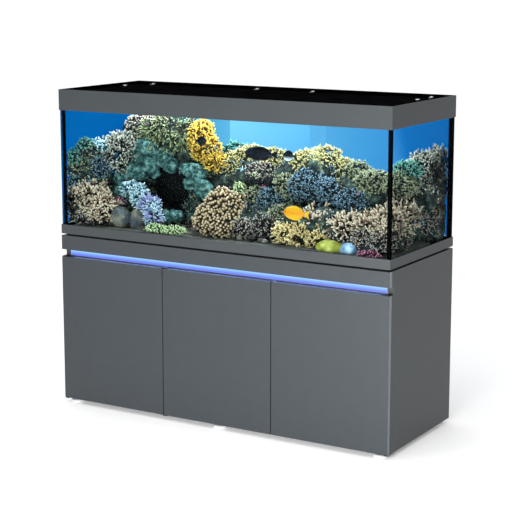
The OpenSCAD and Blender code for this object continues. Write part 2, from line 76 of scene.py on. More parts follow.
# %% Sky and lights
SKY_LEFT, SKY_RIGHT = 1.04, 0.1
sky = bpy.data.worlds.new("studio_sky")
scene.world = sky
sky.use_nodes = True
sky_nodes = sky.node_tree.nodes
heading = sky_nodes.new("ShaderNodeTexCoord")
heading_axes = sky_nodes.new("ShaderNodeSeparateXYZ")
dimmer = sky_nodes.new("ShaderNodeMapRange")
dimmer.inputs["From Min"].default_value = 0.0
dimmer.inputs["To Min"].default_value = SKY_LEFT
dimmer.inputs["To Max"].default_value = SKY_RIGHT
sky.node_tree.links.new(heading.outputs["Generated"], heading_axes.inputs["Vector"])
sky.node_tree.links.new(heading_axes.outputs["X"], dimmer.inputs["Value"])
sky.node_tree.links.new(dimmer.outputs["Result"], sky_nodes["Background"].inputs["Strength"])
sky_nodes["Background"].inputs["Color"].default_value = (1.0, 1.0, 1.0, 1.0)


def area_light(name, place, towards, size, watts, colour=(1.0, 1.0, 1.0)):
    """A rectangular lamp of size (width, height) at place, turned to face the point towards."""
    lamp = bpy.data.lights.new(name, "AREA")
    lamp.shape = "RECTANGLE"
    lamp.size, lamp.size_y = size
    lamp.energy = watts
    lamp.color = colour
    thing = bpy.data.objects.new(name, lamp)
    thing.location = place
    thing.rotation_euler = (Vector(towards) - Vector(place)).to_track_quat("-Z", "Y").to_euler()
    scene.collection.objects.link(thing)


area_light("softbox_front_right", (1.1, -2.9, 0.6), (0.5, 0.0, 0.4), (1.2, 1.2), 95)
area_light("softbox_overhead", (0.0, -1.5, 4.5), (0.0, 0.0, 0.0), (3.0, 3.0), 30)

# %% [markdown]
# ## Helpers for materials
#
# Colours are written as the sRGB hex values that a paint chart gives, and one function turns them into
# the linear numbers that light is computed with. One more function adds a shader node with its settings
# and its links, so every finish below reads as a short list of nodes.

# %% Colours and nodes


def linear(code):
    """sRGB hex to linear RGBA: c / 12.92 up to 0.04045, and ((c + 0.055) / 1.055) ** 2.4 above it."""
    c = np.array([int(code[i:i + 2], 16) for i in (0, 2, 4)]) / 255
    rgb = np.where(c <= 0.04045, c / 12.92, ((c + 0.055) / 1.055) ** 2.4)
    return (*rgb.tolist(), 1.0)


def add(tree, kind, inputs=None, stops=None, **settings):
    """Adds one node. Settings are its properties; each input is a value, a hex colour or another output."""
    n = tree.nodes.new("ShaderNode" + kind)
    for key, value in settings.items():
        setattr(n, key, value)
    for key, value in (inputs or {}).items():
        if isinstance(value, bpy.types.NodeSocket):
            tree.links.new(value, n.inputs[key])
        else:
            n.inputs[key].default_value = linear(value) if isinstance(value, str) else value
    if stops:
        elements = n.color_ramp.elements
        while len(elements) < len(stops):
            elements.new(0.5)
        for element, (place, code) in zip(elements, stops):
            element.position = place
            element.color = linear(code)
    return n


def blank(name):
    """A new material with only an output node, its tree, and the Object coordinates."""
    made = bpy.data.materials.new(name)
    made.use_nodes = True
    made.node_tree.nodes.clear()
    out = made.node_tree.nodes.new("ShaderNodeOutputMaterial")
    place = made.node_tree.nodes.new("ShaderNodeTexCoord").outputs["Object"]
    return made, made.node_tree, out, place


def maths(tree, operation, *values, **settings):
    """The result of a Math node on one or two values."""
    return add(tree, "Math", dict(enumerate(values)), operation=operation, **settings).outputs[0]


def mixed(tree, share, first, second):
    """The colour that lies between first and second by share."""
    return add(tree, "Mix", {"Factor": share, 6: first, 7: second}, data_type="RGBA").outputs[2]


def finished(made, out, inputs):
    """Ends a material with a Principled shader of those inputs."""
    shader = add(made.node_tree, "BsdfPrincipled", inputs)
    made.node_tree.links.new(shader.outputs["BSDF"], out.inputs["Surface"])
    return made


def surface(name, codes, cell, bump, rough, metallic=0.0, specular=0.5, wear=None, **sockets):
    """
    A solid finish. Colour drifts between two hex codes over noise of cell metres, a finer noise lifts the
    surface by bump metres, and roughness drifts between the two values of rough. Wear is a third colour
    that shows in the sparse high spots of the noise.
    """
    made, tree, out, place = blank(name)
    wide = add(tree, "TexNoise", {"Vector": place, "Scale": 1 / (cell * 12), "Detail": 3.0})
    fine = add(tree, "TexNoise", {"Vector": place, "Scale": 1 / cell, "Detail": 4.0})
    stops = [(0.35, codes[0]), (0.65, codes[1])] + ([(0.72, wear)] if wear else [])
    colour = add(tree, "ValToRGB", {"Fac": wide.outputs["Fac"]}, stops=stops)
    shine = add(tree, "MapRange", {"Value": fine.outputs["Fac"], "To Min": rough[0], "To Max": rough[1]})
    lift = add(tree, "Bump", {"Height": fine.outputs["Fac"], "Distance": bump, "Strength": 0.6})
    return finished(made, out, {
        "Base Color": colour.outputs["Color"], "Roughness": shine.outputs["Result"],
        "Normal": lift.outputs["Normal"], "Metallic": metallic, "Specular IOR Level": specular, **sockets})


def dress(material, *names):
    """Gives CAD nodes a finish, by their material slots."""
    for name in names:
        slots = nodes[name].material_slots
        if not slots:
            nodes[name].data.materials.append(material)
        for slot in slots:
            slot.material = material


def ease(radius, *names):
    """Rounds the edges of CAD boards: their loose triangles are welded, made flat faces, then bevelled."""
    for name in names:
        weld = nodes[name].modifiers.new("weld", "WELD")
        weld.merge_threshold = 0.01 * MM
        flat = nodes[name].modifiers.new("flat_faces", "DECIMATE")
        flat.decimate_type = "DISSOLVE"
        flat.angle_limit = math.radians(1)
        bevel = nodes[name].modifiers.new("eased_edges", "BEVEL")
        bevel.width = radius
        bevel.segments = 2
        bevel.limit_method = "ANGLE"
        bevel.angle_limit = math.radians(40)


# %% [markdown]
# ## Cabinet finishes
#
# The doors, fascia and side panels are boards with a sprayed satin lacquer in anthracite grey. Sprayed
# lacquer isn't a mirror: it has a soft orange-peel about 4 mm across, and that is what breaks up its
# highlights. The carcass inside is melamine-faced board, a little lighter and drier. The hood and the
# frame under the tank are powder-coated, which is drier still.

# %% Lacquer, board, powder coat
LACQUER_GREYS = ("2E3337", "303539")
LACQUER_SHEEN = (0.42, 0.50)


def lacquer_with_painted_edge_highlight():
    """Satin lacquer on the boards of the front, with a painted highlight: their outer end faces are paler
    grey.
    """
    made, tree, out, place = blank("satin_lacquer_with_painted_edge_highlight")
    normal = add(tree, "SeparateXYZ", {"Vector": place.node.outputs["Normal"]})
    on_side = maths(tree, "GREATER_THAN", maths(tree, "ABSOLUTE", normal.outputs["X"]), 0.9)
    across = add(tree, "SeparateXYZ", {"Vector": place}).outputs["X"]
    outer_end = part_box("fascia_rail")[1].x - 5 * MM
    at_end = maths(tree, "GREATER_THAN", maths(tree, "ABSOLUTE", across), outer_end)
    edge_highlight_mask = maths(tree, "MULTIPLY", on_side, at_end)
    wide = add(tree, "TexNoise", {"Vector": place, "Scale": 20.0, "Detail": 3.0})
    fine = add(tree, "TexNoise", {"Vector": place, "Scale": 1 / (4 * MM), "Detail": 4.0})
    grey = add(tree, "ValToRGB", {"Fac": wide.outputs["Fac"]}, stops=list(zip((0.35, 0.65), LACQUER_GREYS)))
    # Painted highlight: the outer end faces turn paler grey, for light caught on the rounded edges.
    colour = mixed(tree, edge_highlight_mask, grey.outputs["Color"], "72767A")
    shine = add(tree, "MapRange", {"Value": fine.outputs["Fac"], "To Min": LACQUER_SHEEN[0],
                                   "To Max": LACQUER_SHEEN[1]})
    lift = add(tree, "Bump", {"Height": fine.outputs["Fac"], "Distance": 0.05 * MM, "Strength": 0.6})
    return finished(made, out, {
        "Base Color": colour, "Roughness": shine.outputs["Result"],
        "Normal": lift.outputs["Normal"], "Specular IOR Level": 0.4})


lacquer = surface("sprayed_satin_lacquer", LACQUER_GREYS, 4 * MM, 0.05 * MM, LACQUER_SHEEN, specular=0.4)
lacquer_with_edge_highlight = lacquer_with_painted_edge_highlight()
melamine = surface("melamine_board", ("474A4C", "505355"), 2.5 * MM, 0.08 * MM, (0.55, 0.7))
dress(lacquer_with_edge_highlight, "left_door", "middle_door", "right_door", "fascia_rail")
dress(lacquer, "left_side_panel", "right_side_panel")
dress(melamine, "bottom_panel", "top_panel", "back_panel", "dividers_and_shelf", "channel_rail")
ease(1.0 * MM, "left_door", "middle_door", "right_door", "fascia_rail")
ease(0.8 * MM, "left_side_panel", "right_side_panel")


def powder_coat_with_painted_inner_shade():
    """Powder coat, anthracite outside. Inside the hood band it is painted shade, near black, by the distance
    from the walls.
    """
    made, tree, out, place = blank("powder_coat_with_painted_inner_shade")
    axes = add(tree, "SeparateXYZ", {"Vector": place})
    hood_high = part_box("hood_panels")[1]
    wall = 2.5 * MM
    inside = []
    for axis, half in (("X", hood_high.x - wall), ("Y", hood_high.y - wall)):
        far = maths(tree, "ABSOLUTE", axes.outputs[axis])
        inside.append(maths(tree, "LESS_THAN", far, half))
    both = maths(tree, "MULTIPLY", *inside)
    fine = add(tree, "TexNoise", {"Vector": place, "Scale": 1 / (2 * MM), "Detail": 3.0})
    wide = add(tree, "TexNoise", {"Vector": place, "Scale": 6.0})
    grey = add(tree, "ValToRGB", {"Fac": wide.outputs["Fac"]}, stops=[(0.35, "313639"), (0.65, "33383B")])
    # Painted shade: faces inside the hood band are near black instead of the coat's grey.
    colour = mixed(tree, both, grey.outputs["Color"], "020203")
    lift = add(tree, "Bump", {"Height": fine.outputs["Fac"], "Distance": 0.06 * MM, "Strength": 0.6})
    gloss = add(tree, "MapRange", {"Value": both, "To Min": 0.4, "To Max": 0.0})
    return finished(made, out, {
        "Base Color": colour, "Roughness": 0.5, "Normal": lift.outputs["Normal"],
        "Specular IOR Level": gloss.outputs["Result"]})


coat = powder_coat_with_painted_inner_shade()
dress(coat, "hood_panels", "base_frame")
ease(0.7 * MM, "hood_panels", "base_frame")

# %% [markdown]
# ## Small fittings
#
# Hardware comes in a few families: blackened steel straps, zinc-plated inserts, polished stainless
# hinges, pale moulded feet, and black moulded plastic. Metal drifts in its roughness, which keeps its
# highlights from looking ruled, and moulded plastic has the fine grain of its tool.

# %% Metals and plastics
black_steel = surface("black_passivated_steel", ("1C1C1F", "26262A"), 2 * MM, 0.03 * MM, (0.45, 0.6),
                      metallic=1.0)
zinc = surface("zinc_plated_steel", ("9C9EA1", "B4B6B9"), 3 * MM, 0.02 * MM, (0.25, 0.45), metallic=1.0)
stainless = surface("polished_stainless", ("B9BBBF", "D2D4D8"), 2 * MM, 0.01 * MM, (0.12, 0.28), metallic=1.0)
extrusion = surface("anodised_aluminium", ("A2A4A8", "B8BABD"), 2 * MM, 0.02 * MM, (0.3, 0.42), metallic=1.0)
nylon = surface("moulded_nylon", ("CFCFCA", "DCDCD8"), 1.5 * MM, 0.04 * MM, (0.4, 0.55))
foot_plastic = surface("moulded_pale_plastic", ("C9CCCE", "D8DADC"), 2 * MM, 0.05 * MM, (0.38, 0.5))
black_plastic = surface("moulded_black_abs", ("0E0E10", "17171A"), 1.5 * MM, 0.06 * MM, (0.4, 0.55),
                        specular=0.35)
liner_black = surface("matt_black_bar", ("040405", "070708"), 2 * MM, 0.05 * MM, (0.7, 0.85), specular=0.0)
cover_black = surface("matt_black_cover", ("060607", "0C0C0E"), 6 * MM, 0.03 * MM, (0.7, 0.85), specular=0.0)
silicone = surface("smoothed_silicone", ("050506", "0B0B0C"), 5 * MM, 0.1 * MM, (0.5, 0.65), specular=0.0)
pvc = surface("grey_pvc_pipe", ("4A4D50", "565A5D"), 3 * MM, 0.04 * MM, (0.35, 0.5))
red_plastic = surface("moulded_red_lever", ("9E1712", "B51F18"), 2 * MM, 0.05 * MM, (0.35, 0.5))
rotor = surface("moulded_rotor", ("BDBDB6", "CACAC4"), 1.5 * MM, 0.05 * MM, (0.4, 0.5))
foam = surface("closed_cell_foam", ("0B0B0C", "161618"), 1.2 * MM, 0.3 * MM, (0.8, 0.95), specular=0.2)
dress(black_steel, "pivot_brackets")
dress(zinc, "steel_inserts")
dress(stainless, "left_flap_fittings", "right_flap_fittings", "flap_hinge_brackets")
dress(extrusion, "led_profile", "light_bars")
dress(black_plastic, "left_door_fittings", "middle_door_fittings", "right_door_fittings")
feet = [name for name in nodes if name.startswith("foot_")]
dress(foot_plastic, *feet)
dress(black_plastic, "led_driver", "door_magnets", "return_nozzle", "return_pump", "heater")
dress(liner_black, "hood_liner")
dress(cover_black, "left_flap", "right_flap")
dress(silicone, "silicone_seams")
dress(pvc, "drain_pipe", "return_pipe")
dress(red_plastic, "valve_lever")
dress(rotor, "pump_impeller")
dress(foam, "safety_mat")
print(len(feet), "feet dressed")

# %% [markdown]
# ## Glass
#
# Float glass lets nearly all light through its faces and turns green only where one looks along it, at
# its ground edges. A flat pane doesn't bend the view enough to matter, so each pane is a see-through
# shader mixed with a faint mirror that grows with the fifth power towards grazing. That also lets the
# lamps light what is behind it.

# %% Float glass and acrylic
SILICONE_BLACK = "060607"


def float_glass(name, edge_axes, edge="5E8078", edge_alpha=0.75, tint="ECF5F8", mirror=0.15):
    """Clear faces, and edges of another colour: those whose normal lies along one of edge_axes."""
    made, tree, out, place = blank(name)
    normal = add(tree, "SeparateXYZ", {"Vector": place.node.outputs["Normal"]})
    on_edge = None
    for axis in edge_axes:
        size = maths(tree, "ABSOLUTE", normal.outputs[axis])
        on_edge = size if on_edge is None else maths(tree, "MAXIMUM", on_edge, size)
    clear = add(tree, "BsdfTransparent", {"Color": tint})
    ripple = add(tree, "TexNoise", {"Vector": place, "Scale": 3.0})
    wave = add(tree, "Bump", {"Height": ripple.outputs["Fac"], "Distance": 0.2 * MM, "Strength": 0.3})
    gloss = add(tree, "BsdfGlossy", {"Roughness": 0.02, "Normal": wave.outputs["Normal"]})
    turned = add(tree, "LayerWeight", {"Blend": 0.5}).outputs["Facing"]
    grazing = maths(tree, "POWER", turned, 5.0)
    share = add(tree, "MapRange", {"Value": grazing, "To Min": 0.01 * mirror, "To Max": mirror})
    pane = add(tree, "MixShader", {0: share.outputs["Result"], 1: clear.outputs[0], 2: gloss.outputs[0]})
    ground = add(tree, "BsdfPrincipled", {"Base Color": edge, "Roughness": 0.3, "Alpha": edge_alpha,
                                          "Specular IOR Level": 0.0})
    both = add(tree, "MixShader", {0: on_edge, 1: pane.outputs[0], 2: ground.outputs[0]})
    tree.links.new(both.outputs[0], out.inputs["Surface"])
    return made


long_pane = float_glass("float_glass_long_pane", "XZ", SILICONE_BLACK, 1.0)
end_pane = float_glass("float_glass_end_pane", "YZ", SILICONE_BLACK, 1.0, mirror=0.06)
flat_pane = float_glass("float_glass_flat_pane", "XY")
dress(long_pane, "front_glass", "back_glass")
dress(end_pane, "left_glass", "right_glass")
dress(flat_pane, "bottom_glass", "glass_braces")
sump_glass = float_glass("float_glass_sump", "Z", tint="F4FBF9")
dress(sump_glass, "sump_tank")
acrylic = float_glass("clear_cast_acrylic", "Z", tint="DDE8EC", mirror=0.8)
dress(acrylic, "skimmer_body", "skimmer_cup")

# %% [markdown]
# ## Lit parts
#
# Two things shine: the opal diffuser in the grip channel, sky blue along its top edge and violet blue
# below, and the blue film behind the tank, whose glow is painted light that stands in for open water.
# The film is darkest at the ends and palest left of the middle. Lamps under the covers light the reef
# from above.

# %% Diffuser and film


def lit_diffuser():
    """Emission whose colour runs from violet blue at the foot of the diffuser to sky blue at its top."""
    made, tree, out, place = blank("lit_opal_diffuser")
    low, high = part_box("led_diffuser")
    height = add(tree, "SeparateXYZ", {"Vector": place}).outputs["Z"]
    share = add(tree, "MapRange", {"Value": height, "From Min": low.z, "From Max": high.z})
    glow = add(tree, "ValToRGB", {"Fac": share.outputs["Result"]},
               stops=[(0.0, "5A66E4"), (0.4, "6F93F0"), (0.75, "8CC6F6"), (1.0, "A2DAFA")])
    return finished(made, out, {
        "Base Color": "20286E", "Roughness": 0.4, "Emission Color": glow.outputs["Color"],
        "Emission Strength": 1.05})


def blue_film():
    """Film: blue by the place along the tank, with soft clouds, and painted light: it glows though no lamp.
    """
    made, tree, out, place = blank("blue_film_with_painted_glow")
    low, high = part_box("background_film")
    axes = add(tree, "SeparateXYZ", {"Vector": place})
    along = add(tree, "MapRange", {"Value": axes.outputs["X"], "From Min": low.x, "From Max": high.x})
    cloud = add(tree, "TexNoise", {"Vector": place, "Scale": 2.2, "Detail": 2.0})
    drift = add(tree, "MapRange", {"Value": cloud.outputs["Fac"], "To Min": -0.05, "To Max": 0.05})
    share = maths(tree, "ADD", along.outputs["Result"], drift.outputs["Result"])
    blues = add(tree, "ValToRGB", {"Fac": share},
                stops=[(0.0, "0068B0"), (0.08, "0570BA"), (0.2, "4AB0DC"), (0.36, "84CFF2"), (0.58, "6FBEEC"),
                       (0.72, "55AAE0"), (0.81, "4A9FDC"), (0.86, "0A74BE"), (1.0, "0068B0")])
    return finished(made, out, {
        # Painted light: the film's blues are also its emission, so it glows though it is no lamp.
        "Base Color": mixed(tree, 0.93, blues.outputs["Color"], "000000"), "Roughness": 0.6,
        "Specular IOR Level": 0.0, "Emission Color": blues.outputs["Color"], "Emission Strength": 1.12})


dress(lit_diffuser(), "led_diffuser")
strip_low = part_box("led_diffuser")[0]
area_light("strip_spill", (0, strip_low.y - 4 * MM, strip_low.z + 1 * MM), (0, strip_low.y - 8 * MM, 0),
           (1.5, 6 * MM), 0.3, (0.35, 0.5, 1.0))
# The overflow shaft and comb share the film's painted glow, so they fade into it.
dress(blue_film(), "background_film", "overflow_box", "overflow_comb")
bars_low, bars_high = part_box("light_bars")
HALF_BAR, BELOW_BAR = 25 * MM, 12 * MM
for y in (bars_low.y + HALF_BAR, bars_high.y - HALF_BAR):
    area_light("tank_lamp", (0, y, bars_low.z - BELOW_BAR), (0, y, 0), (1.44, 0.04), 8, (0.78, 0.9, 1.0))

# %% [markdown]
# ## Helpers for shapes
#
# Rock and coral are surfaces worked out from formulas. Two ideas are enough for nearly all of them. A
# rock is a ball whose points are pushed in and out by noise. A coral is a bundle of tapering tubes that
# grow from such a ball. Both are computed as whole arrays, so thousands of twigs take no loop.

# %% Noise


def value_noise(p, cell, seed):
    """Smooth random field, -1 to 1: hashes of the eight cell corners, blended by 3t^2 - 2t^3 on each axis."""
    q = p / cell
    base = np.floor(q)
    t = q - base
    t = t * t * (3 - 2 * t)
    total = np.zeros(q.shape[:-1])
    for corner in np.ndindex(2, 2, 2):
        c = base + corner
        h = np.sin(c @ np.array([127.1, 311.7, 74.7]) + seed * 53.3) * 43758.5453
        weight = np.prod(np.where(np.array(corner) == 1, t, 1 - t), axis=-1)
        total += weight * (h - np.floor(h))
    return 2 * total - 1


def rough_noise(p, cell, seed, octaves=4):
    """Value noise summed over octaves, each half as large and half as strong as the last."""
    return sum(value_noise(p, cell / 2 ** k, seed + k) / 2 ** k for k in range(octaves))


# %% Shells: arrays of vertices and faces
CLEAR = 3 * MM
WATER_LOW = np.array([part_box("left_glass")[1].x + CLEAR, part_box("front_glass")[1].y + CLEAR,
                      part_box("sand_bed")[0].z])
WATER_HIGH = np.array([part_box("right_glass")[0].x - CLEAR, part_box("back_glass")[0].y - CLEAR,
                       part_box("glass_braces")[0].z - CLEAR])


def shell(verts, quads, tris, shade):
    """One closed surface: vertex array, quad and triangle index arrays, and a 0 to 1 value per vertex."""
    return [np.reshape(verts, (-1, 3)), np.reshape(quads, (-1, 4)),
            np.reshape(tris, (-1, 3)), np.ravel(shade)]


def joined(parts):
    """Several shells as one: vertex arrays end to end, with face indices moved up to match."""
    offsets = np.cumsum([0] + [len(p[0]) for p in parts])
    return [np.concatenate([p[0] for p in parts]),
            np.concatenate([p[1] + o for p, o in zip(parts, offsets)]),
            np.concatenate([p[2] + o for p, o in zip(parts, offsets)]),
            np.concatenate([p[3] for p in parts])]


def piece(name, parts, material, body=TANK_BODY, smooth=True):
    """
    Makes the joined shells a Blender mesh, with the 0 to 1 value as the attribute tip, and rides it. What
    belongs to the tank stays 3 mm inside its panes: twigs that reach further lie flat against the glass.
    """
    verts, quads, tris, shade = joined(parts)
    if body == TANK_BODY:
        verts = np.clip(verts, WATER_LOW, WATER_HIGH)
    loops = np.concatenate([quads.ravel(), tris.ravel()])
    starts = np.concatenate([np.arange(len(quads)) * 4, len(quads) * 4 + np.arange(len(tris)) * 3])
    mesh = bpy.data.meshes.new(name)
    mesh.vertices.add(len(verts))
    mesh.vertices.foreach_set("co", verts.astype(np.float32).ravel())
    mesh.loops.add(len(loops))
    mesh.loops.foreach_set("vertex_index", loops.astype(np.int32))
    mesh.polygons.add(len(starts))
    mesh.polygons.foreach_set("loop_start", starts.astype(np.int32))
    mesh.polygons.foreach_set("use_smooth", np.full(len(starts), smooth))
    mesh.update(calc_edges=True)
    mesh.validate()
    mesh.attributes.new("tip", "FLOAT", "POINT").data.foreach_set("value", shade.astype(np.float32))
    mesh.materials.append(material)
    made = bpy.data.objects.new(name, mesh)
    scene.collection.objects.link(made)
    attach(made, body)
    print(name, len(quads) * 2 + len(tris), "triangles")
    return made


# %% Rings: the faces of any ball or tube


def ring_faces(rings, sides):
    """Quads between neighbouring rings and triangle fans to a pole before the first and after the last."""
    i = np.arange(rings - 1)[:, None] * sides
    j = np.arange(sides)[None, :]
    k = (j + 1) % sides
    quads = np.stack([i + j, i + k, i + sides + k, i + sides + j], axis=-1).reshape(-1, 4)
    first, last = rings * sides, rings * sides + 1
    top = (rings - 1) * sides
    j, k = j[0], k[0]
    low = np.stack([k, j, np.full(sides, first)], axis=-1)
    high = np.stack([top + j, top + k, np.full(sides, last)], axis=-1)
    return quads, np.concatenate([low, high])


def ball(centre, radii, rows=40, cols=60):
    """Points of an ellipsoid in rings from its foot to its top, its poles, their directions, and faces."""
    v = (np.arange(1, rows + 1) / (rows + 1) - 0.5) * math.pi
    u = np.arange(cols) / cols * 2 * math.pi
    v, u = np.meshgrid(v, u, indexing="ij")
    way = np.stack([np.cos(v) * np.cos(u), np.cos(v) * np.sin(u), np.sin(v)], axis=-1).reshape(-1, 3)
    way = np.concatenate([way, [[0, 0, -1], [0, 0, 1]]])
    return np.array(centre) + way * np.array(radii), way, ring_faces(rows, cols)


def rock(centre, radii, seed, depth=0.16, cell=0.08, rows=56, cols=84):
    """A ball whose points move along their direction by depth times rough noise, times the mean radius."""
    points, way, (quads, tris) = ball(centre, radii, rows, cols)
    push = rough_noise(points, cell, seed, 5)
    points = points + way * (push * depth * np.mean(radii))[:, None]
    return shell(points, quads, tris, 0.5 + 0.5 * push)


def tubes(paths, radii, sides=6):
    """
    Closed tapering tubes. paths is (tube, ring, xyz) and radii is (tube, ring). Each ring is a circle
    round its path point, square to the tube's own direction. The value is 0 at the foot and 1 at the tip.
    """
    n, m = radii.shape
    way = paths[:, -1] - paths[:, 0]
    way /= np.linalg.norm(way, axis=1, keepdims=True) + 1e-9
    other = np.where(np.abs(way[:, 2:3]) < 0.9, [[0.0, 0.0, 1.0]], [[1.0, 0.0, 0.0]])
    across = np.cross(way, other)
    across /= np.linalg.norm(across, axis=1, keepdims=True)
    third = np.cross(way, across)
    turn = np.arange(sides) / sides * 2 * math.pi
    circle = (np.cos(turn)[None, :, None] * across[:, None] + np.sin(turn)[None, :, None] * third[:, None])
    rings = paths[:, :, None] + radii[:, :, None, None] * circle[:, None]
    foot = paths[:, 0] - way * radii[:, :1]
    tip = paths[:, -1] + way * radii[:, -1:] * 0.9
    verts = np.concatenate([rings.reshape(n, -1, 3), foot[:, None], tip[:, None]], axis=1)
    quads, tris = ring_faces(m, sides)
    step = (np.arange(n) * (m * sides + 2))[:, None, None]
    shade = np.repeat(np.linspace(0, 1, m), sides)
    shade = np.tile(np.concatenate([shade, [0, 1]]), (n, 1))
    return shell(verts, quads[None] + step, tris[None] + step, shade)


# %% [markdown]
# ## Coral
#
# A stony coral colony is a mound of like branches, each leaning a little its own way. Seeds are spread
# evenly over the mound by the golden angle, as in a sunflower. From each seed grows a twig along the
# mound's normal, bent by chance and by its pull to the light, and each twig may fork.

# %% Growing a colony
GOLDEN = math.pi * (3 - math.sqrt(5))
SEEDED = 0.875  # the share of a mound that is seeded: all but its foot


def seeds(centre, radii, count, floor, seed):
    """Even points on an ellipsoid with outward normals, without its far side or what is below floor."""
    i = np.arange(count)
    z = 1 - (i + 0.5) / count * (2 * SEEDED)
    r = np.sqrt(np.clip(1 - z * z, 0, 1))
    way = np.stack([r * np.cos(i * GOLDEN), r * np.sin(i * GOLDEN), z], axis=-1)
    rng = np.random.default_rng(seed)
    way += rng.normal(0, 0.5 / math.sqrt(count), way.shape)
    way /= np.linalg.norm(way, axis=1, keepdims=True)
    points = np.array(centre) + way * np.array(radii)
    points += way * (rough_noise(points, min(radii) * 0.8, seed)[:, None] * min(radii) * 0.22)
    normal = way / np.array(radii)
    normal /= np.linalg.norm(normal, axis=1, keepdims=True)
    keep = (points[:, 2] > floor) & (way[:, 1] < 0.6)
    return points[keep], normal[keep]


def grow(points, normals, length, thick, seed, spread=0.35, lift=0.3, forks=0, rings=4, sides=5):
    """
    Twigs from points along normals. Twig i runs p + d * L * t + bend * t^2, where d is the normal plus
    chance times spread plus up times lift. Its radius is thick * (1 - 0.3 t), and closes at the tip.
    Forks start between a third and two thirds of the way up and are 0.6 times as long.
    """
    rng = np.random.default_rng(seed)
    n = len(points)
    way = normals + rng.normal(0, spread, (n, 3)) + np.array([0, 0, lift])
    way /= np.linalg.norm(way, axis=1, keepdims=True)
    long = length * rng.uniform(0.65, 1.25, n)
    t = np.linspace(0, 1, rings)
    bend = rng.normal(0, 0.18, (n, 3)) * long[:, None]
    paths = (points[:, None] - normals[:, None] * thick + way[:, None] * (long[:, None] * t)[..., None]
             + bend[:, None] * (t * t)[None, :, None])
    fade = 1 - 0.3 * t
    fade[-1] *= 0.75
    radii = thick * rng.uniform(0.8, 1.2, n)[:, None] * fade
    parts = [tubes(paths, radii, sides)]
    for _ in range(forks):
        at = rng.integers(1, rings - 1, n)
        start = paths[np.arange(n), at]
        side = way + rng.normal(0, 0.55, (n, 3))
        side /= np.linalg.norm(side, axis=1, keepdims=True)
        paths2 = start[:, None] + side[:, None] * (long[:, None] * 0.6 * t)[..., None]
        fork = tubes(paths2, radii * 0.8, sides)
        fork[3] = 0.4 + 0.6 * fork[3]
        parts.append(fork)
    return joined(parts)


def colony(centre, radii, count, length, thick, seed, **growth):
    """A mound of twigs on an ellipsoid: even seeds over its upper part, each grown into a twig."""
    points, normals = seeds(centre, radii, count, sand_top - 0.01, seed)
    return grow(points, normals, length, thick, seed + 1, **growth)


sand_low, sand_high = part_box("sand_bed")
sand_top = sand_high.z
print("sand top at", round(sand_top, 4))

# %% [markdown]
# Living coral is palest at its growing tips, and brown algae tint it further down; the near-black
# colour at the foot of each twig is painted shade inside the colony. So each coral's colour runs along
# the value that its twigs carry, and a cell pattern of about 2 mm stands for its polyps.

# %% Coral and rock finishes


def coral_skin(name, deep, middle, tip, polyp=2.2 * MM, accent=None):
    """Polyp-covered skin: colour from foot to tip, drifting over the colony, with a bump of small cells."""
    made, tree, out, place = blank(name)
    value = add(tree, "Attribute", attribute_name="tip").outputs["Fac"]
    drift = add(tree, "TexNoise", {"Vector": place, "Scale": 22.0, "Detail": 3.0})
    shift = add(tree, "MapRange", {"Value": drift.outputs["Fac"], "To Min": -0.25, "To Max": 0.25})
    along = maths(tree, "ADD", value, shift.outputs["Result"])
    # Painted shade: the foot colour is near black for the shade inside the colony; the paler tips are partly
    # the coral's own colour.
    colour = add(tree, "ValToRGB", {"Fac": along}, stops=[(0.36, deep), (0.72, middle), (1.0, tip)])
    shown = colour.outputs["Color"]
    if accent:
        patch = add(tree, "TexNoise", {"Vector": place, "Scale": 9.0, "Detail": 1.0})
        mask = add(tree, "MapRange", {"Value": patch.outputs["Fac"], "From Min": 0.48, "From Max": 0.62})
        part = maths(tree, "MULTIPLY", mask.outputs["Result"], along, use_clamp=True)
        shown = mixed(tree, part, shown, accent)
    cells = add(tree, "TexVoronoi", {"Vector": place, "Scale": 1 / polyp})
    lift = add(tree, "Bump", {"Height": cells.outputs["Distance"], "Distance": 0.5 * MM, "Strength": 0.7})
    return finished(made, out, {
        "Base Color": shown, "Roughness": 0.65, "Specular IOR Level": 0.25, "Normal": lift.outputs["Normal"]})


def rock_skin(name, codes, patch=0.03):
    """Porous rock with crusts of algae: four colours laid out by noise of patch metres, and deep pores."""
    made, tree, out, place = blank(name)
    wide = add(tree, "TexNoise", {"Vector": place, "Scale": 1 / patch, "Detail": 5.0, "Roughness": 0.65})
    stops = list(zip((0.3, 0.45, 0.56, 0.7), codes))
    colour = add(tree, "ValToRGB", {"Fac": wide.outputs["Fac"]}, stops=stops)
    pores = add(tree, "TexVoronoi", {"Vector": place, "Scale": 1 / (7 * MM)})
    grit = add(tree, "TexNoise", {"Vector": place, "Scale": 1 / (2.5 * MM), "Detail": 4.0})
    height = maths(tree, "ADD", pores.outputs["Distance"], grit.outputs["Fac"])
    lift = add(tree, "Bump", {"Height": height, "Distance": 3 * MM, "Strength": 0.8})
    return finished(made, out, {
        "Base Color": colour.outputs["Color"], "Roughness": 0.8, "Specular IOR Level": 0.2,
        "Normal": lift.outputs["Normal"]})


reef_rock = rock_skin("porous_reef_rock", ("070A09", "1D2522", "3C463C", "6A7460"))
cave_rock = rock_skin("shaded_cave_rock", ("010101", "020303", "050706", "0A0D0C"))
teal_rock = rock_skin("algae_covered_rock", ("0C1A1A", "2A4642", "587E74", "A0BAAC"), 0.02)
pebble = rock_skin("worn_grey_boulder", ("34383A", "55585A", "7E7466", "A89480"), 0.05)

# %% [markdown]
# ## The rockwork
#
# Two heaps carry the reef. At the left a pillar leans over a dark cave and almost reaches the hood, and
# from there a long ridge falls to the right end. A buttress stands in each front corner. Each heap is a
# few overlapping rocks, in the space that its CAD solid holds.

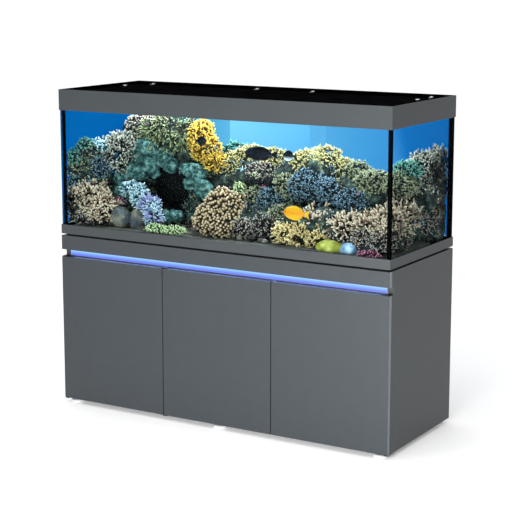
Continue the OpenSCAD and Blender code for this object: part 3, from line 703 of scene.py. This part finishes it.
# %% Rock heaps
left_rocks = [
    rock((-0.67, 0.06, 0.93), (0.10, 0.13, 0.15), 1),
    rock((-0.64, 0.06, 1.05), (0.09, 0.11, 0.13), 2),
    rock((-0.60, 0.05, 1.19), (0.09, 0.10, 0.08), 3),
    rock((-0.48, 0.05, 1.18), (0.13, 0.10, 0.10), 4),
    rock((-0.35, 0.05, 1.14), (0.09, 0.09, 0.12), 5),
    rock((-0.26, 0.05, 0.99), (0.07, 0.09, 0.14), 6),
    rock((-0.57, -0.02, 0.88), (0.08, 0.10, 0.09), 7),
    rock((-0.25, 0.00, 0.87), (0.08, 0.08, 0.09), 8),
    rock((-0.72, -0.14, 0.90), (0.055, 0.10, 0.10), 9),
    rock((-0.725, -0.14, 1.02), (0.05, 0.09, 0.10), 10),
    rock((-0.735, -0.16, 1.10), (0.04, 0.07, 0.05), 11),
    rock((-0.765, -0.23, 0.95), (0.022, 0.04, 0.15), 91),
]
right_rocks = [
    rock((-0.12, 0.02, 0.93), (0.13, 0.09, 0.15), 12),
    rock((0.02, 0.03, 1.00), (0.12, 0.09, 0.14), 13),
    rock((0.18, 0.03, 0.99), (0.13, 0.10, 0.14), 14),
    rock((0.32, 0.04, 1.02), (0.12, 0.10, 0.12), 15),
    rock((0.46, 0.03, 0.97), (0.12, 0.11, 0.12), 16),
    rock((0.59, 0.04, 0.96), (0.12, 0.14, 0.12), 17),
    rock((0.69, 0.02, 0.90), (0.08, 0.15, 0.12), 18),
    rock((0.70, 0.19, 0.97), (0.07, 0.08, 0.15), 19),
    rock((0.71, 0.19, 0.86), (0.07, 0.08, 0.09), 27),
    rock((0.60, 0.20, 0.87), (0.09, 0.07, 0.09), 28),
    rock((0.05, -0.08, 0.87), (0.17, 0.10, 0.08), 20),
    rock((0.35, -0.09, 0.87), (0.22, 0.11, 0.08), 21),
    rock((0.65, -0.12, 0.85), (0.12, 0.12, 0.07), 22),
    rock((0.755, 0.24, 0.95), (0.03, 0.045, 0.17), 92),
]
cave_rocks = [
    rock((-0.43, 0.10, 0.95), (0.17, 0.05, 0.17), 23),
    rock((-0.40, 0.02, 0.83), (0.16, 0.12, 0.05), 24),
    rock((0.05, -0.06, 1.03), (0.05, 0.04, 0.03), 25),
    rock((0.13, -0.05, 1.03), (0.04, 0.04, 0.03), 26),
]
rocks_left = piece("rocks_left", left_rocks, reef_rock)
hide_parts("reef_left")
rocks_right = piece("rocks_right", right_rocks, reef_rock)
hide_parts("reef_right")
piece("rocks_cave", cave_rocks, cave_rock)
TEAL_LUMPS = [
    (-0.62, -0.07, 1.00, 0.055), (-0.55, -0.07, 1.03, 0.05), (-0.60, -0.09, 0.94, 0.05),
    (-0.50, -0.05, 1.08, 0.05), (-0.44, -0.03, 1.10, 0.05), (-0.39, -0.04, 1.07, 0.035),
    (-0.47, -0.06, 1.04, 0.03), (-0.25, -0.06, 1.04, 0.05), (-0.20, -0.07, 0.98, 0.045),
    (-0.30, -0.06, 1.06, 0.03), (-0.27, -0.08, 1.00, 0.03), (-0.36, -0.14, 0.85, 0.035),
    (-0.31, -0.12, 0.86, 0.03), (-0.50, -0.07, 1.14, 0.05), (-0.57, -0.06, 1.10, 0.04),
    (-0.53, -0.12, 0.93, 0.03),
]
piece("rocks_teal", [
    rock((x, y, z), (r, 0.8 * r, r), 30 + k, 0.28, 0.7 * r, 32, 48)
    for k, (x, y, z, r) in enumerate(TEAL_LUMPS)
], teal_rock)
piece("boulders", [
    rock((-0.55, -0.20, 0.845), (0.045, 0.04, 0.05), 51, 0.06, 0.05, 40, 60),
    rock((-0.465, -0.20, 0.84), (0.032, 0.035, 0.05), 52, 0.06, 0.05, 40, 60),
    rock((-0.40, -0.15, 0.82), (0.05, 0.04, 0.03), 53, 0.06, 0.05, 40, 60),
], pebble)

# %% [markdown]
# ## Coral colonies
#
# Every kind of coral is one piece made of several mounds. The sizes are those of the real animals: a
# cauliflower coral has blunt knobs about 14 mm apart, a finger coral has arms of 10 mm, and the small
# bushes that fill the right side have twigs of 5 or 6 mm.

# %% One kind of coral


def ellipsoid_area(a, b, c, p=1.6):
    """Close to the area of an ellipsoid: 4 pi times the p-mean of the products ab, ac and bc."""
    return 4 * math.pi * ((a * b) ** p / 3 + (a * c) ** p / 3 + (b * c) ** p / 3) ** (1 / p)


def mounds(name, skin, length, thick, seed, places, gap=2.3, **growth):
    """A piece made of one colony per (x, y, z, rx, ry, rz). Twigs stand gap * thick apart on each mound."""
    parts = []
    for k, (x, y, z, rx, ry, rz) in enumerate(places):
        count = int(SEEDED * ellipsoid_area(rx, ry, rz) / (gap * thick) ** 2)
        parts.append(colony((x, y, z), (rx, ry, rz), count, length, thick, seed + 7 * k, **growth))
    return piece(name, parts, skin)


# %% Cauliflower, staghorn and finger corals
cauliflower = coral_skin("cauliflower_coral", "1A0F08", "8A6640", "DDBE98")
mounds("coral_cauliflower", cauliflower, 0.016, 0.0070, 101, [(-0.066, -0.14, 0.878, 0.105, 0.09, 0.105)],
       gap=1.75, spread=0.12, lift=0.0, sides=9)
staghorn = coral_skin("staghorn_coral", "0E0D0C", "5E584C", "CFC6B0")
mounds("coral_staghorn", staghorn, 0.034, 0.0042, 111, [
    (-0.64, -0.07, 1.10, 0.07, 0.06, 0.07), (0.73, 0.16, 1.09, 0.05, 0.08, 0.06),
    (0.757, 0.24, 1.12, 0.028, 0.045, 0.045), (0.757, 0.24, 1.03, 0.028, 0.045, 0.045),
], gap=2.6, spread=0.35, lift=0.35, forks=2)
finger = coral_skin("finger_coral", "1C1310", "A27C62", "EBD4B4")
mounds("coral_finger", finger, 0.036, 0.0055, 121, [
    (-0.71, -0.19, 0.91, 0.05, 0.06, 0.07), (-0.65, -0.20, 0.87, 0.06, 0.05, 0.05),
    (-0.76, -0.24, 0.92, 0.024, 0.04, 0.05), (0.755, 0.23, 0.94, 0.03, 0.045, 0.045),
    (0.72, -0.02, 0.92, 0.05, 0.08, 0.05), (0.72, -0.15, 0.91, 0.05, 0.06, 0.05),
    (0.54, -0.15, 0.895, 0.06, 0.05, 0.03), (0.40, -0.13, 0.90, 0.06, 0.04, 0.03),
    (0.66, -0.16, 0.91, 0.06, 0.05, 0.03),
], gap=2.5, spread=0.4, lift=0.4, forks=2)

# %% Yellow, cream and golden corals
yellow = coral_skin("yellow_soft_coral", "4A2E08", "C48A1C", "F4CC5E")
mounds("coral_yellow", yellow, 0.018, 0.0036, 131, [
    (-0.25, -0.01, 1.20, 0.045, 0.05, 0.06), (-0.22, -0.02, 1.14, 0.055, 0.05, 0.06),
    (-0.17, -0.02, 1.09, 0.045, 0.04, 0.04),
], gap=2.4, spread=0.5, lift=0.4, forks=1)
cream = coral_skin("cream_bush_coral", "1A160C", "7E6C40", "D8C686")
mounds("coral_cream", cream, 0.018, 0.0036, 141, [
    (-0.10, 0.02, 1.08, 0.06, 0.05, 0.05), (-0.02, 0.03, 1.12, 0.07, 0.05, 0.04),
    (0.07, 0.04, 1.12, 0.07, 0.05, 0.03), (0.24, 0.03, 1.10, 0.06, 0.06, 0.05),
    (0.33, 0.04, 1.12, 0.07, 0.06, 0.05), (0.41, 0.05, 1.09, 0.05, 0.05, 0.04),
], gap=2.5, spread=0.45, lift=0.4, forks=1)
golden = coral_skin("golden_finger_coral", "2E1E0E", "BE9252", "F4DDA2")
mounds("coral_golden", golden, 0.026, 0.0045, 151, [
    (0.28, -0.19, 0.845, 0.045, 0.04, 0.035), (0.35, -0.19, 0.84, 0.045, 0.04, 0.04),
    (0.42, -0.20, 0.835, 0.03, 0.03, 0.03),
], gap=2.4, spread=0.4, lift=0.4, forks=2)

# %% Bushes of the right side
bush = coral_skin("blue_bush_coral", "06090E", "2C3F50", "8FA8B2")
mounds("coral_blue_bush", bush, 0.016, 0.0030, 161, [
    (0.30, -0.04, 1.02, 0.09, 0.06, 0.06), (0.40, -0.04, 1.01, 0.06, 0.05, 0.05),
    (0.52, -0.04, 0.98, 0.10, 0.06, 0.05), (0.13, -0.06, 0.95, 0.07, 0.05, 0.06),
    (-0.70, -0.16, 1.05, 0.045, 0.05, 0.05), (-0.765, -0.24, 0.99, 0.02, 0.04, 0.035),
], gap=2.8, spread=0.5, lift=0.3, forks=1)
olive = coral_skin("olive_bush_coral", "0F0F0A", "565640", "B9B48C")
mounds("coral_olive", olive, 0.018, 0.0033, 171, [
    (0.59, -0.02, 1.05, 0.08, 0.06, 0.05), (0.68, 0.02, 1.05, 0.06, 0.08, 0.05),
    (0.49, 0.02, 1.08, 0.05, 0.05, 0.04), (0.20, -0.04, 1.02, 0.05, 0.05, 0.05),
    (0.03, -0.06, 0.96, 0.06, 0.05, 0.06), (0.21, -0.10, 0.90, 0.06, 0.05, 0.04),
    (-0.765, -0.24, 1.05, 0.02, 0.04, 0.03),
], gap=2.6, spread=0.5, lift=0.4, forks=1)
moss = coral_skin("teal_bush_coral", "081614", "2A5C52", "7FBCA4")
mounds("coral_teal", moss, 0.016, 0.0036, 181, [
    (-0.745, -0.18, 1.145, 0.025, 0.05, 0.025), (-0.765, -0.24, 1.10, 0.02, 0.04, 0.03),
    (-0.15, 0.10, 1.13, 0.05, 0.03, 0.03), (0.70, 0.06, 1.11, 0.05, 0.06, 0.03),
], gap=2.5, spread=0.5, lift=0.3, forks=1)

# %% Low corals along the front
table = coral_skin("white_table_coral", "1C3238", "7FA8B0", "F0F6F2", accent="A898CC")
mounds("coral_table", table, 0.024, 0.0036, 191, [
    (-0.53, -0.13, 0.965, 0.045, 0.03, 0.012), (-0.48, -0.15, 0.93, 0.035, 0.03, 0.02),
    (-0.42, -0.17, 0.90, 0.04, 0.03, 0.025), (-0.385, -0.19, 0.86, 0.03, 0.025, 0.025),
    (-0.71, -0.14, 1.14, 0.03, 0.03, 0.015),
], gap=2.3, spread=0.35, lift=0.4, forks=1)
pale = coral_skin("pale_green_coral", "2E3A1C", "98A862", "E6EDB8")
mounds("coral_pale_green", pale, 0.012, 0.0040, 201, [
    (-0.33, -0.24, 0.815, 0.05, 0.025, 0.02), (-0.24, -0.24, 0.815, 0.05, 0.025, 0.02),
    (-0.005, -0.10, 0.995, 0.02, 0.02, 0.03), (0.055, -0.07, 1.03, 0.015, 0.015, 0.035),
], gap=2.1, spread=0.35, lift=0.4, forks=1)
dotted = coral_skin("dotted_bush_coral", "0A0706", "3A2E2C", "C4AE9C")
mounds("coral_dotted", dotted, 0.018, 0.0040, 211, [
    (0.65, -0.20, 0.855, 0.055, 0.045, 0.04), (0.725, -0.21, 0.85, 0.045, 0.045, 0.04),
    (0.06, -0.17, 0.845, 0.05, 0.04, 0.035), (0.15, -0.15, 0.86, 0.05, 0.04, 0.04),
    (0.53, -0.17, 0.85, 0.05, 0.04, 0.035), (0.73, -0.08, 0.85, 0.035, 0.06, 0.04),
    (0.73, 0.14, 0.88, 0.04, 0.08, 0.05), (-0.72, -0.24, 0.84, 0.04, 0.03, 0.03),
    (-0.762, -0.25, 0.85, 0.024, 0.03, 0.04), (0.755, 0.23, 0.86, 0.03, 0.045, 0.04),
    (-0.57, 0.00, 1.22, 0.07, 0.05, 0.05), (-0.47, -0.01, 1.25, 0.05, 0.05, 0.03),
    (0.06, -0.03, 1.06, 0.06, 0.04, 0.04),
], gap=2.7, spread=0.4, lift=0.4, forks=1)
pink = coral_skin("pink_bush_coral", "3C0F20", "A84668", "EE98B0")
mounds("coral_pink", pink, 0.010, 0.0032, 221, [
    (0.69, -0.262, 0.812, 0.05, 0.012, 0.012), (-0.765, -0.21, 1.07, 0.012, 0.04, 0.04),
    (0.10, -0.05, 1.01, 0.03, 0.02, 0.015), (-0.60, -0.14, 0.90, 0.02, 0.02, 0.02),
], gap=2.3, spread=0.4, lift=0.3)

# %% [markdown]
# Gorgonians hang from the roof of the pillar. They are the same twigs as before, longer and pulled down
# instead of up. After them, small tufts of every colour are sown over the rocks, because bare rock is
# rare on a living reef.

# %% Hanging fronds and sown tufts
frond = coral_skin("olive_gorgonian", "15180E", "565C3C", "B2B078")
mounds("coral_fronds", frond, 0.055, 0.0030, 231, [
    (-0.41, -0.03, 1.22, 0.10, 0.04, 0.04),
], gap=4.6, spread=0.35, lift=-0.8, forks=2)


def normals_of(made):
    """A shell's outward vertex normals: the crossed diagonals of its quads, summed and scaled to 1."""
    verts, quads = made[0], made[1]
    face = np.cross(verts[quads[:, 2]] - verts[quads[:, 0]], verts[quads[:, 3]] - verts[quads[:, 1]])
    total = np.zeros_like(verts)
    for corner in range(4):
        np.add.at(total, quads[:, corner], face)
    return total / (np.linalg.norm(total, axis=1, keepdims=True) + 1e-12)


TWIGS_IN_TUFT = 7


def sown(name, skin, heaps, count, length, thick, seed, **growth):
    """Tufts of seven twigs at random points of the heaps that face forwards, sideways or up."""
    rng = np.random.default_rng(seed)
    points = np.concatenate([made[0] for made in heaps])
    normals = np.concatenate([normals_of(made) for made in heaps])
    weight = (points[:, 2] > sand_top) * (normals @ np.array([0.2, -0.8, 0.6]) > 0.1)
    chosen = np.repeat(rng.choice(len(points), count, p=weight / weight.sum()), TWIGS_IN_TUFT)
    start = points[chosen] + rng.normal(0, 2.2 * thick, (len(chosen), 3))
    return piece(name, [grow(start, normals[chosen], length, thick, seed + 1, **growth)], skin)


everywhere = left_rocks + right_rocks
sown("tufts_olive", olive, everywhere, 230, 0.016, 0.0030, 301, spread=0.6)
sown("tufts_blue", bush, everywhere, 260, 0.014, 0.0028, 311, spread=0.6)
sown("tufts_teal", moss, left_rocks, 160, 0.013, 0.0032, 321, spread=0.6)
sown("tufts_cream", cream, everywhere, 110, 0.014, 0.0030, 331, spread=0.6)
sown("tufts_white", table, everywhere, 60, 0.014, 0.0026, 341, spread=0.6)
sown("tufts_pink", pink, everywhere, 26, 0.010, 0.0026, 351, spread=0.6)
sown("tufts_dark", dotted, everywhere, 160, 0.015, 0.0032, 361, spread=0.6)

# %% [markdown]
# Brain coral has no branches. It is a smooth dome, folded into fine valleys, so a rock with very little
# push is enough for it, and its folds are in the finish.

# %% Brain corals
sun_dome = coral_skin("yellow_brain_coral", "9A9432", "C6BE58", "E8DE8C", polyp=6 * MM)
sky_dome = coral_skin("pale_blue_brain_coral", "5E7896", "98B2CA", "D0E0EC", polyp=6 * MM)
piece("coral_sun_dome", [rock((0.50, -0.235, 0.818), (0.062, 0.03, 0.032), 95, 0.04, 0.03)],
      sun_dome)
piece("coral_sky_dome", [rock((0.582, -0.225, 0.815), (0.042, 0.03, 0.028), 96, 0.04, 0.03)],
      sky_dome)

# %% [markdown]
# Broken coral collects at the foot of every reef. Each stone is a small ball squeezed by chance, and a few
# hundred of them are computed as one array.

# %% Rubble


def rubble(count, seed, rows=5, cols=8):
    """Stones: balls of 5 to 16 mm radius, squeezed on each axis and jittered by 18 %, lying on the sand."""
    rng = np.random.default_rng(seed)
    unit, _, (quads, tris) = ball((0, 0, 0), (1, 1, 1), rows, cols)
    size = rng.uniform(0.005, 0.016, (count, 1, 1)) * rng.uniform(0.6, 1.2, (count, 1, 3))
    x = rng.uniform(sand_low.x + 0.02, sand_high.x - 0.02, count)
    y = rng.uniform(-0.22, -0.12, count) + 0.3 * rng.uniform(0, 1, count) ** 3
    place = np.stack([x, y, sand_top + rng.uniform(-0.002, 0.006, count)], axis=-1)
    verts = place[:, None] + (unit * (1 + rng.normal(0, 0.18, (count, len(unit), 1)))) * size
    step = (np.arange(count) * len(unit))[:, None, None]
    shade = np.repeat(rng.uniform(0, 1, count), len(unit))
    return shell(verts, quads[None] + step, tris[None] + step, shade)


piece("rubble", [rubble(520, 71)], coral_skin("coral_rubble", "14110F", "5A5046", "A89A86"))

# %% [markdown]
# ## Sand
#
# The floor of the tank is coarse coral sand. Its top isn't flat: pumps drive it into low ripples and it
# lies a little higher against the rocks. The bed is one closed block with a rippled top.

# %% Sand bed


def sand_bed(cols=240, rows=80):
    """A block whose top rises by 5 mm of slow noise and 1.5 mm of fine noise, ending 12 mm before the shaft.
    """
    x = np.linspace(sand_low.x, sand_high.x, cols)
    y = np.linspace(sand_low.y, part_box("overflow_box")[0].y - 0.012, rows)
    gx, gy = np.meshgrid(x, y, indexing="ij")
    flat = np.stack([gx, gy, np.zeros_like(gx)], axis=-1)
    rise = 0.005 * rough_noise(flat, 0.18, 5, 2) + 0.0015 * rough_noise(flat, 0.02, 6, 3)
    top = flat + np.stack([0 * gx, 0 * gx, sand_top - 0.004 + rise], axis=-1)
    foot = flat + np.array([0, 0, sand_low.z])
    index = np.arange(cols * rows).reshape(cols, rows)
    a, b, c, d = index[:-1, :-1], index[1:, :-1], index[1:, 1:], index[:-1, 1:]
    up = np.stack([a, b, c, d], axis=-1).reshape(-1, 4)
    down = up[:, ::-1] + cols * rows
    rim = np.concatenate([index[:, 0], index[-1, 1:], index[-2::-1, -1], index[0, -2:0:-1]])
    after = np.roll(rim, -1)
    side = np.stack([after, rim, rim + cols * rows, after + cols * rows], axis=-1)
    verts = np.concatenate([top.reshape(-1, 3), foot.reshape(-1, 3)])
    return shell(verts, np.concatenate([up, down, side]), np.zeros((0, 3), int), np.zeros(len(verts)))


sand = surface("coarse_coral_sand", ("4A453C", "6A6356"), 3 * MM, 2.0 * MM, (0.8, 0.95), specular=0.2,
               wear="8E8674")
bed = piece("sand", [sand_bed()], sand)
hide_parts("sand_bed")

# %% [markdown]
# ## Fish
#
# A reef fish is a lens: high and short, with a narrow root to its tail. Its body is a row of ellipses
# whose height follows the outline from nose to tail, and each fin is a thin curved plate along the body.

# %% Fish bodies and fins


def plate(points, thick):
    """A closed thin plate: the grid of points twice, thick apart along its normal, with its rim joined."""
    n, m = points.shape[:2]
    normal = np.cross(points[-1, 0] - points[0, 0], points[0, -1] - points[0, 0])
    normal /= np.linalg.norm(normal)
    index = np.arange(n * m).reshape(n, m)
    a, b, c, d = index[:-1, :-1], index[1:, :-1], index[1:, 1:], index[:-1, 1:]
    near = np.stack([a, b, c, d], axis=-1).reshape(-1, 4)
    far = near[:, ::-1] + n * m
    rim = np.concatenate([index[:, 0], index[-1, 1:], index[-2::-1, -1], index[0, -2:0:-1]])
    after = np.roll(rim, -1)
    side = np.stack([after, rim, rim + n * m, after + n * m], axis=-1)
    flat = points.reshape(-1, 3)
    verts = np.concatenate([flat + normal * thick / 2, flat - normal * thick / 2])
    return shell(verts, np.concatenate([near, far, side]), np.zeros((0, 3), int), np.ones(len(verts)))


def fish(length, height, place, heading, tilt=0.0):
    """
    A fish of that length and body height. The body's half height is h * sin(pi * s^0.75)^0.7 plus a
    narrow root for the tail, its half width a third of that. Its shade runs from belly 0 to back 1.
    """
    rings, sides = 22, 16
    s = np.linspace(0.01, 0.99, rings)
    high = height / 2 * (np.clip(np.sin(math.pi * s ** 0.75), 0, 1) ** 0.7) + height * 0.07 * s
    turn = np.arange(sides) / sides * 2 * math.pi
    x = np.repeat(-(s - 0.45)[:, None] * length * 0.8, sides, axis=1)
    y = high[:, None] * 0.36 * np.cos(turn)
    z = high[:, None] * np.sin(turn)
    body = np.stack([x, y, z], axis=-1).reshape(-1, 3)
    ends = np.array([[0.45 * 0.8 * length + 0.002, 0, 0], [-0.55 * 0.8 * length - 0.001, 0, 0]])
    verts = np.concatenate([body, ends])
    quads, tris = ring_faces(rings, sides)
    shade = 0.5 + verts[:, 2] / height
    parts = [shell(verts, quads[:, ::-1], tris[:, ::-1], shade)]
    u, v = np.meshgrid(np.linspace(0, 1, 8), np.linspace(-1, 1, 9), indexing="ij")
    tail = np.stack([-0.43 * length - 0.2 * length * u * (0.75 + 0.35 * v * v), 0 * u,
                     v * height * (0.08 + 0.34 * u)], axis=-1)
    parts.append(plate(tail, 0.0012))
    for sign in (1, -1):
        w = (v + 1) / 2
        root = np.interp(0.25 + 0.6 * w, s, high)
        rise = 0.1 * height * np.sin(math.pi * (0.15 + 0.85 * w)) ** 0.5 * u
        fin = np.stack([-(0.25 + 0.6 * w - 0.45) * length * 0.8 - 0.06 * length * u, 0 * u,
                        sign * (root * 0.93 + rise)], axis=-1)
        parts.append(plate(fin, 0.001))
        side_fin = np.stack([(0.12 - 0.16 * u) * length, sign * (0.14 + 0.18 * u) * height,
                             (-0.05 + 0.09 * v * (0.3 + u)) * height], axis=-1)
        parts.append(plate(side_fin, 0.0008))
    eye = [0.27 * length, 0.125 * height, 0.07 * height]
    for sign in (1, -1):
        points, _, faces = ball((eye[0], sign * eye[1], eye[2]), [0.045 * height] * 3, 8, 12)
        parts.append(shell(points, *faces, np.full(len(points), -1.0)))
    whole = joined(parts)
    turned = np.array([[math.cos(heading), -math.sin(heading), 0], [math.sin(heading), math.cos(heading), 0],
                       [0, 0, 1]])
    nod = np.array([[math.cos(tilt), 0, -math.sin(tilt)], [0, 1, 0], [math.sin(tilt), 0, math.cos(tilt)]])
    whole[0] = whole[0] @ nod.T @ turned.T + np.array(place)
    return whole


def fish_skin(name, belly, flank, back):
    """Scaly skin: colour from belly to back, dark eyes where the value is below zero, and small scales."""
    made, tree, out, place = blank(name)
    value = add(tree, "Attribute", attribute_name="tip").outputs["Fac"]
    drift = add(tree, "TexNoise", {"Vector": place, "Scale": 60.0})
    shift = add(tree, "MapRange", {"Value": drift.outputs["Fac"], "To Min": -0.12, "To Max": 0.12})
    along = maths(tree, "ADD", value, shift.outputs["Result"])
    colour = add(tree, "ValToRGB", {"Fac": along}, stops=[(0.1, belly), (0.5, flank), (0.9, back)])
    shown = mixed(tree, maths(tree, "LESS_THAN", value, -0.5), colour.outputs["Color"], "06060A")
    scales = add(tree, "TexVoronoi", {"Vector": place, "Scale": 1 / (2.5 * MM)})
    lift = add(tree, "Bump", {"Height": scales.outputs["Distance"], "Distance": 0.2 * MM, "Strength": 0.5})
    return finished(made, out, {
        "Base Color": shown, "Roughness": 0.45, "Specular IOR Level": 0.15,
        "Normal": lift.outputs["Normal"]})


orange_scales = fish_skin("orange_fish_skin", "F6B020", "F08A10", "E8A818")
dark_scales = fish_skin("black_fish_skin", "101018", "16161F", "0B0B12")
pied_scales = fish_skin("pied_fish_skin", "E8ECEE", "1A1C22", "0E0F14")
piece("fish_orange", [fish(0.115, 0.050, (0.335, -0.24, 0.945), math.radians(185), 0.05)], orange_scales)
piece("fish_black", [
    fish(0.165, 0.050, (0.142, -0.20, 1.17), math.radians(178)),
    fish(0.055, 0.030, (-0.745, -0.22, 1.13), math.radians(200)),
    fish(0.050, 0.036, (-0.125, -0.20, 1.205), math.radians(20)),
], dark_scales)
piece("fish_pied", [
    fish(0.065, 0.040, (0.288, -0.20, 1.168), math.radians(175)),
], pied_scales)

# %% [markdown]
# ## Filter sock
#
# The sock is needled polyester felt, sewn into a bag and welded to a plastic ring, which hangs in a plate
# over the sump. Felt hangs in soft folds that grow towards its closed end, so the bag's radius carries a
# few waves that fade at the ring.

# %% Holder, ring and bag
sock_low, sock_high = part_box("filter_sock")
drain_low, drain_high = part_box("drain_pipe")
sock_at = np.array([(drain_low.x + drain_high.x) / 2, sock_low.y + 62 * MM])
RING_TOP, PLATE_TOP, PLATE_FOOT = sock_high.z, sock_high.z - 4 * MM, sock_high.z - 8.8 * MM
HOLE_RADIUS = 51 * MM
BAG_RADIUS = 49.5 * MM
FELT = 2 * MM
RING_HEIGHT = 3.8 * MM


def loop_faces(rings, sides):
    """Quads of a tube bent round on itself: the last ring joins the first."""
    i, j = np.meshgrid(np.arange(rings), np.arange(sides), indexing="ij")
    i2, j2 = (i + 1) % rings, (j + 1) % sides
    return np.stack([i * sides + j, i * sides + j2, i2 * sides + j2, i2 * sides + j], axis=-1).reshape(-1, 4)


def holder_plate():
    """A plate with a hole: each ray from the hole's centre runs from radius 51 mm to the plate's edge."""
    left, right = sock_low.x - sock_at[0], sock_high.x - sock_at[0]
    front, back = sock_low.y - sock_at[1], sock_high.y - sock_at[1]
    corners = [math.atan2(y, x) % (2 * math.pi) for x in (left, right) for y in (front, back)]
    angle = np.sort(np.concatenate([np.arange(96) / 96 * 2 * math.pi + 0.01, corners]))
    way = np.stack([np.cos(angle), np.sin(angle)], axis=-1)
    reach = np.minimum(np.where(way[:, 0] > 0, right, left) / way[:, 0],
                       np.where(way[:, 1] > 0, back, front) / way[:, 1])
    hole, edge = sock_at + way * HOLE_RADIUS, sock_at + way * reach[:, None]
    rings = [np.column_stack([xy, np.full(len(angle), z)]) for xy, z in
             ((hole, PLATE_FOOT), (edge, PLATE_FOOT), (edge, PLATE_TOP), (hole, PLATE_TOP))]
    return shell(np.stack(rings), loop_faces(4, len(angle)), np.zeros((0, 3), int), np.zeros(4 * len(angle)))


def sock_ring(sides=72, turns=12):
    """A torus with a squarish section, 8 mm wide and 3.8 mm high: signed square roots of cos and sin."""
    a = np.arange(turns) / turns * 2 * math.pi
    u = np.arange(sides) / sides * 2 * math.pi
    squared = [np.sign(f(a)) * np.abs(f(a)) ** 0.5 for f in (np.cos, np.sin)]
    radius = 52 * MM + 4 * MM * squared[0]
    z = RING_TOP - RING_HEIGHT / 2 + RING_HEIGHT / 2 * squared[1]
    verts = np.stack([sock_at[0] + radius[:, None] * np.cos(u), sock_at[1] + radius[:, None] * np.sin(u),
                      np.repeat(z[:, None], sides, axis=1)], axis=-1)
    return shell(verts, loop_faces(turns, sides), np.zeros((0, 3), int), np.zeros(turns * sides))


def felt_bag(sides=72):
    """
    The outer wall from the middle of its foot up to the mouth, and the inner wall back, 2 mm further in.
    The radius is R * (1 - (1 - t)^4)^(1/2) over the rounded foot, with folds 4 % deep that fade upwards.
    """
    t = np.linspace(0.04, 1, 10)
    foot, tall = 30 * MM, RING_TOP - RING_HEIGHT - sock_low.z
    radius = np.concatenate([BAG_RADIUS * np.sqrt(1 - (1 - t) ** 4), np.full(14, BAG_RADIUS)])
    height = np.concatenate([foot * t ** 2, np.linspace(foot, tall, 15)[1:]])
    radius = np.concatenate([radius, radius[::-1] - FELT])
    height = np.concatenate([height, np.maximum(height[::-1], FELT)])
    u = np.arange(sides) / sides * 2 * math.pi
    fold = 1 - 0.04 * (1 - height / tall)[:, None] * (1 + np.sin(7 * u + 3 * height[:, None] / tall)) / 2
    ring = radius[:, None] * fold
    verts = np.stack([sock_at[0] + ring * np.cos(u), sock_at[1] + ring * np.sin(u),
                      np.repeat(sock_low.z + height[:, None], sides, axis=1)], axis=-1).reshape(-1, 3)
    poles = [[*sock_at, sock_low.z], [*sock_at, sock_low.z + FELT]]
    verts = np.concatenate([verts, poles])
    return shell(verts, *ring_faces(len(radius), sides), np.zeros(len(verts)))


felt = surface("needled_polyester_felt", ("C9C8BF", "DEDDD4"), 2 * MM, 0.6 * MM, (0.85, 1.0), specular=0.1)
piece("sock_holder", [holder_plate()], black_plastic, "filter_sock", smooth=False)
piece("sock_ring", [sock_ring()], nylon, "filter_sock")
bag_piece = piece("sock_bag", [felt_bag()], felt, "filter_sock")
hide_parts("filter_sock")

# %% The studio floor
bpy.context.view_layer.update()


def floor_disc():
    """A wide flat disc under the object."""
    bpy.ops.mesh.primitive_circle_add(vertices=128, radius=60, fill_type="NGON", location=(0, 0, 0))
    made = bpy.context.object
    made.name = "studio_floor"
    return made


floor = floor_disc()
floor.data.materials.append(surface("pale_studio_floor", ("F8F8F8", "FCFCFC"), 0.05, 0.0, (0.7, 0.8),
                                    **{"Emission Color": "FFFFFF", "Emission Strength": 0.2}))
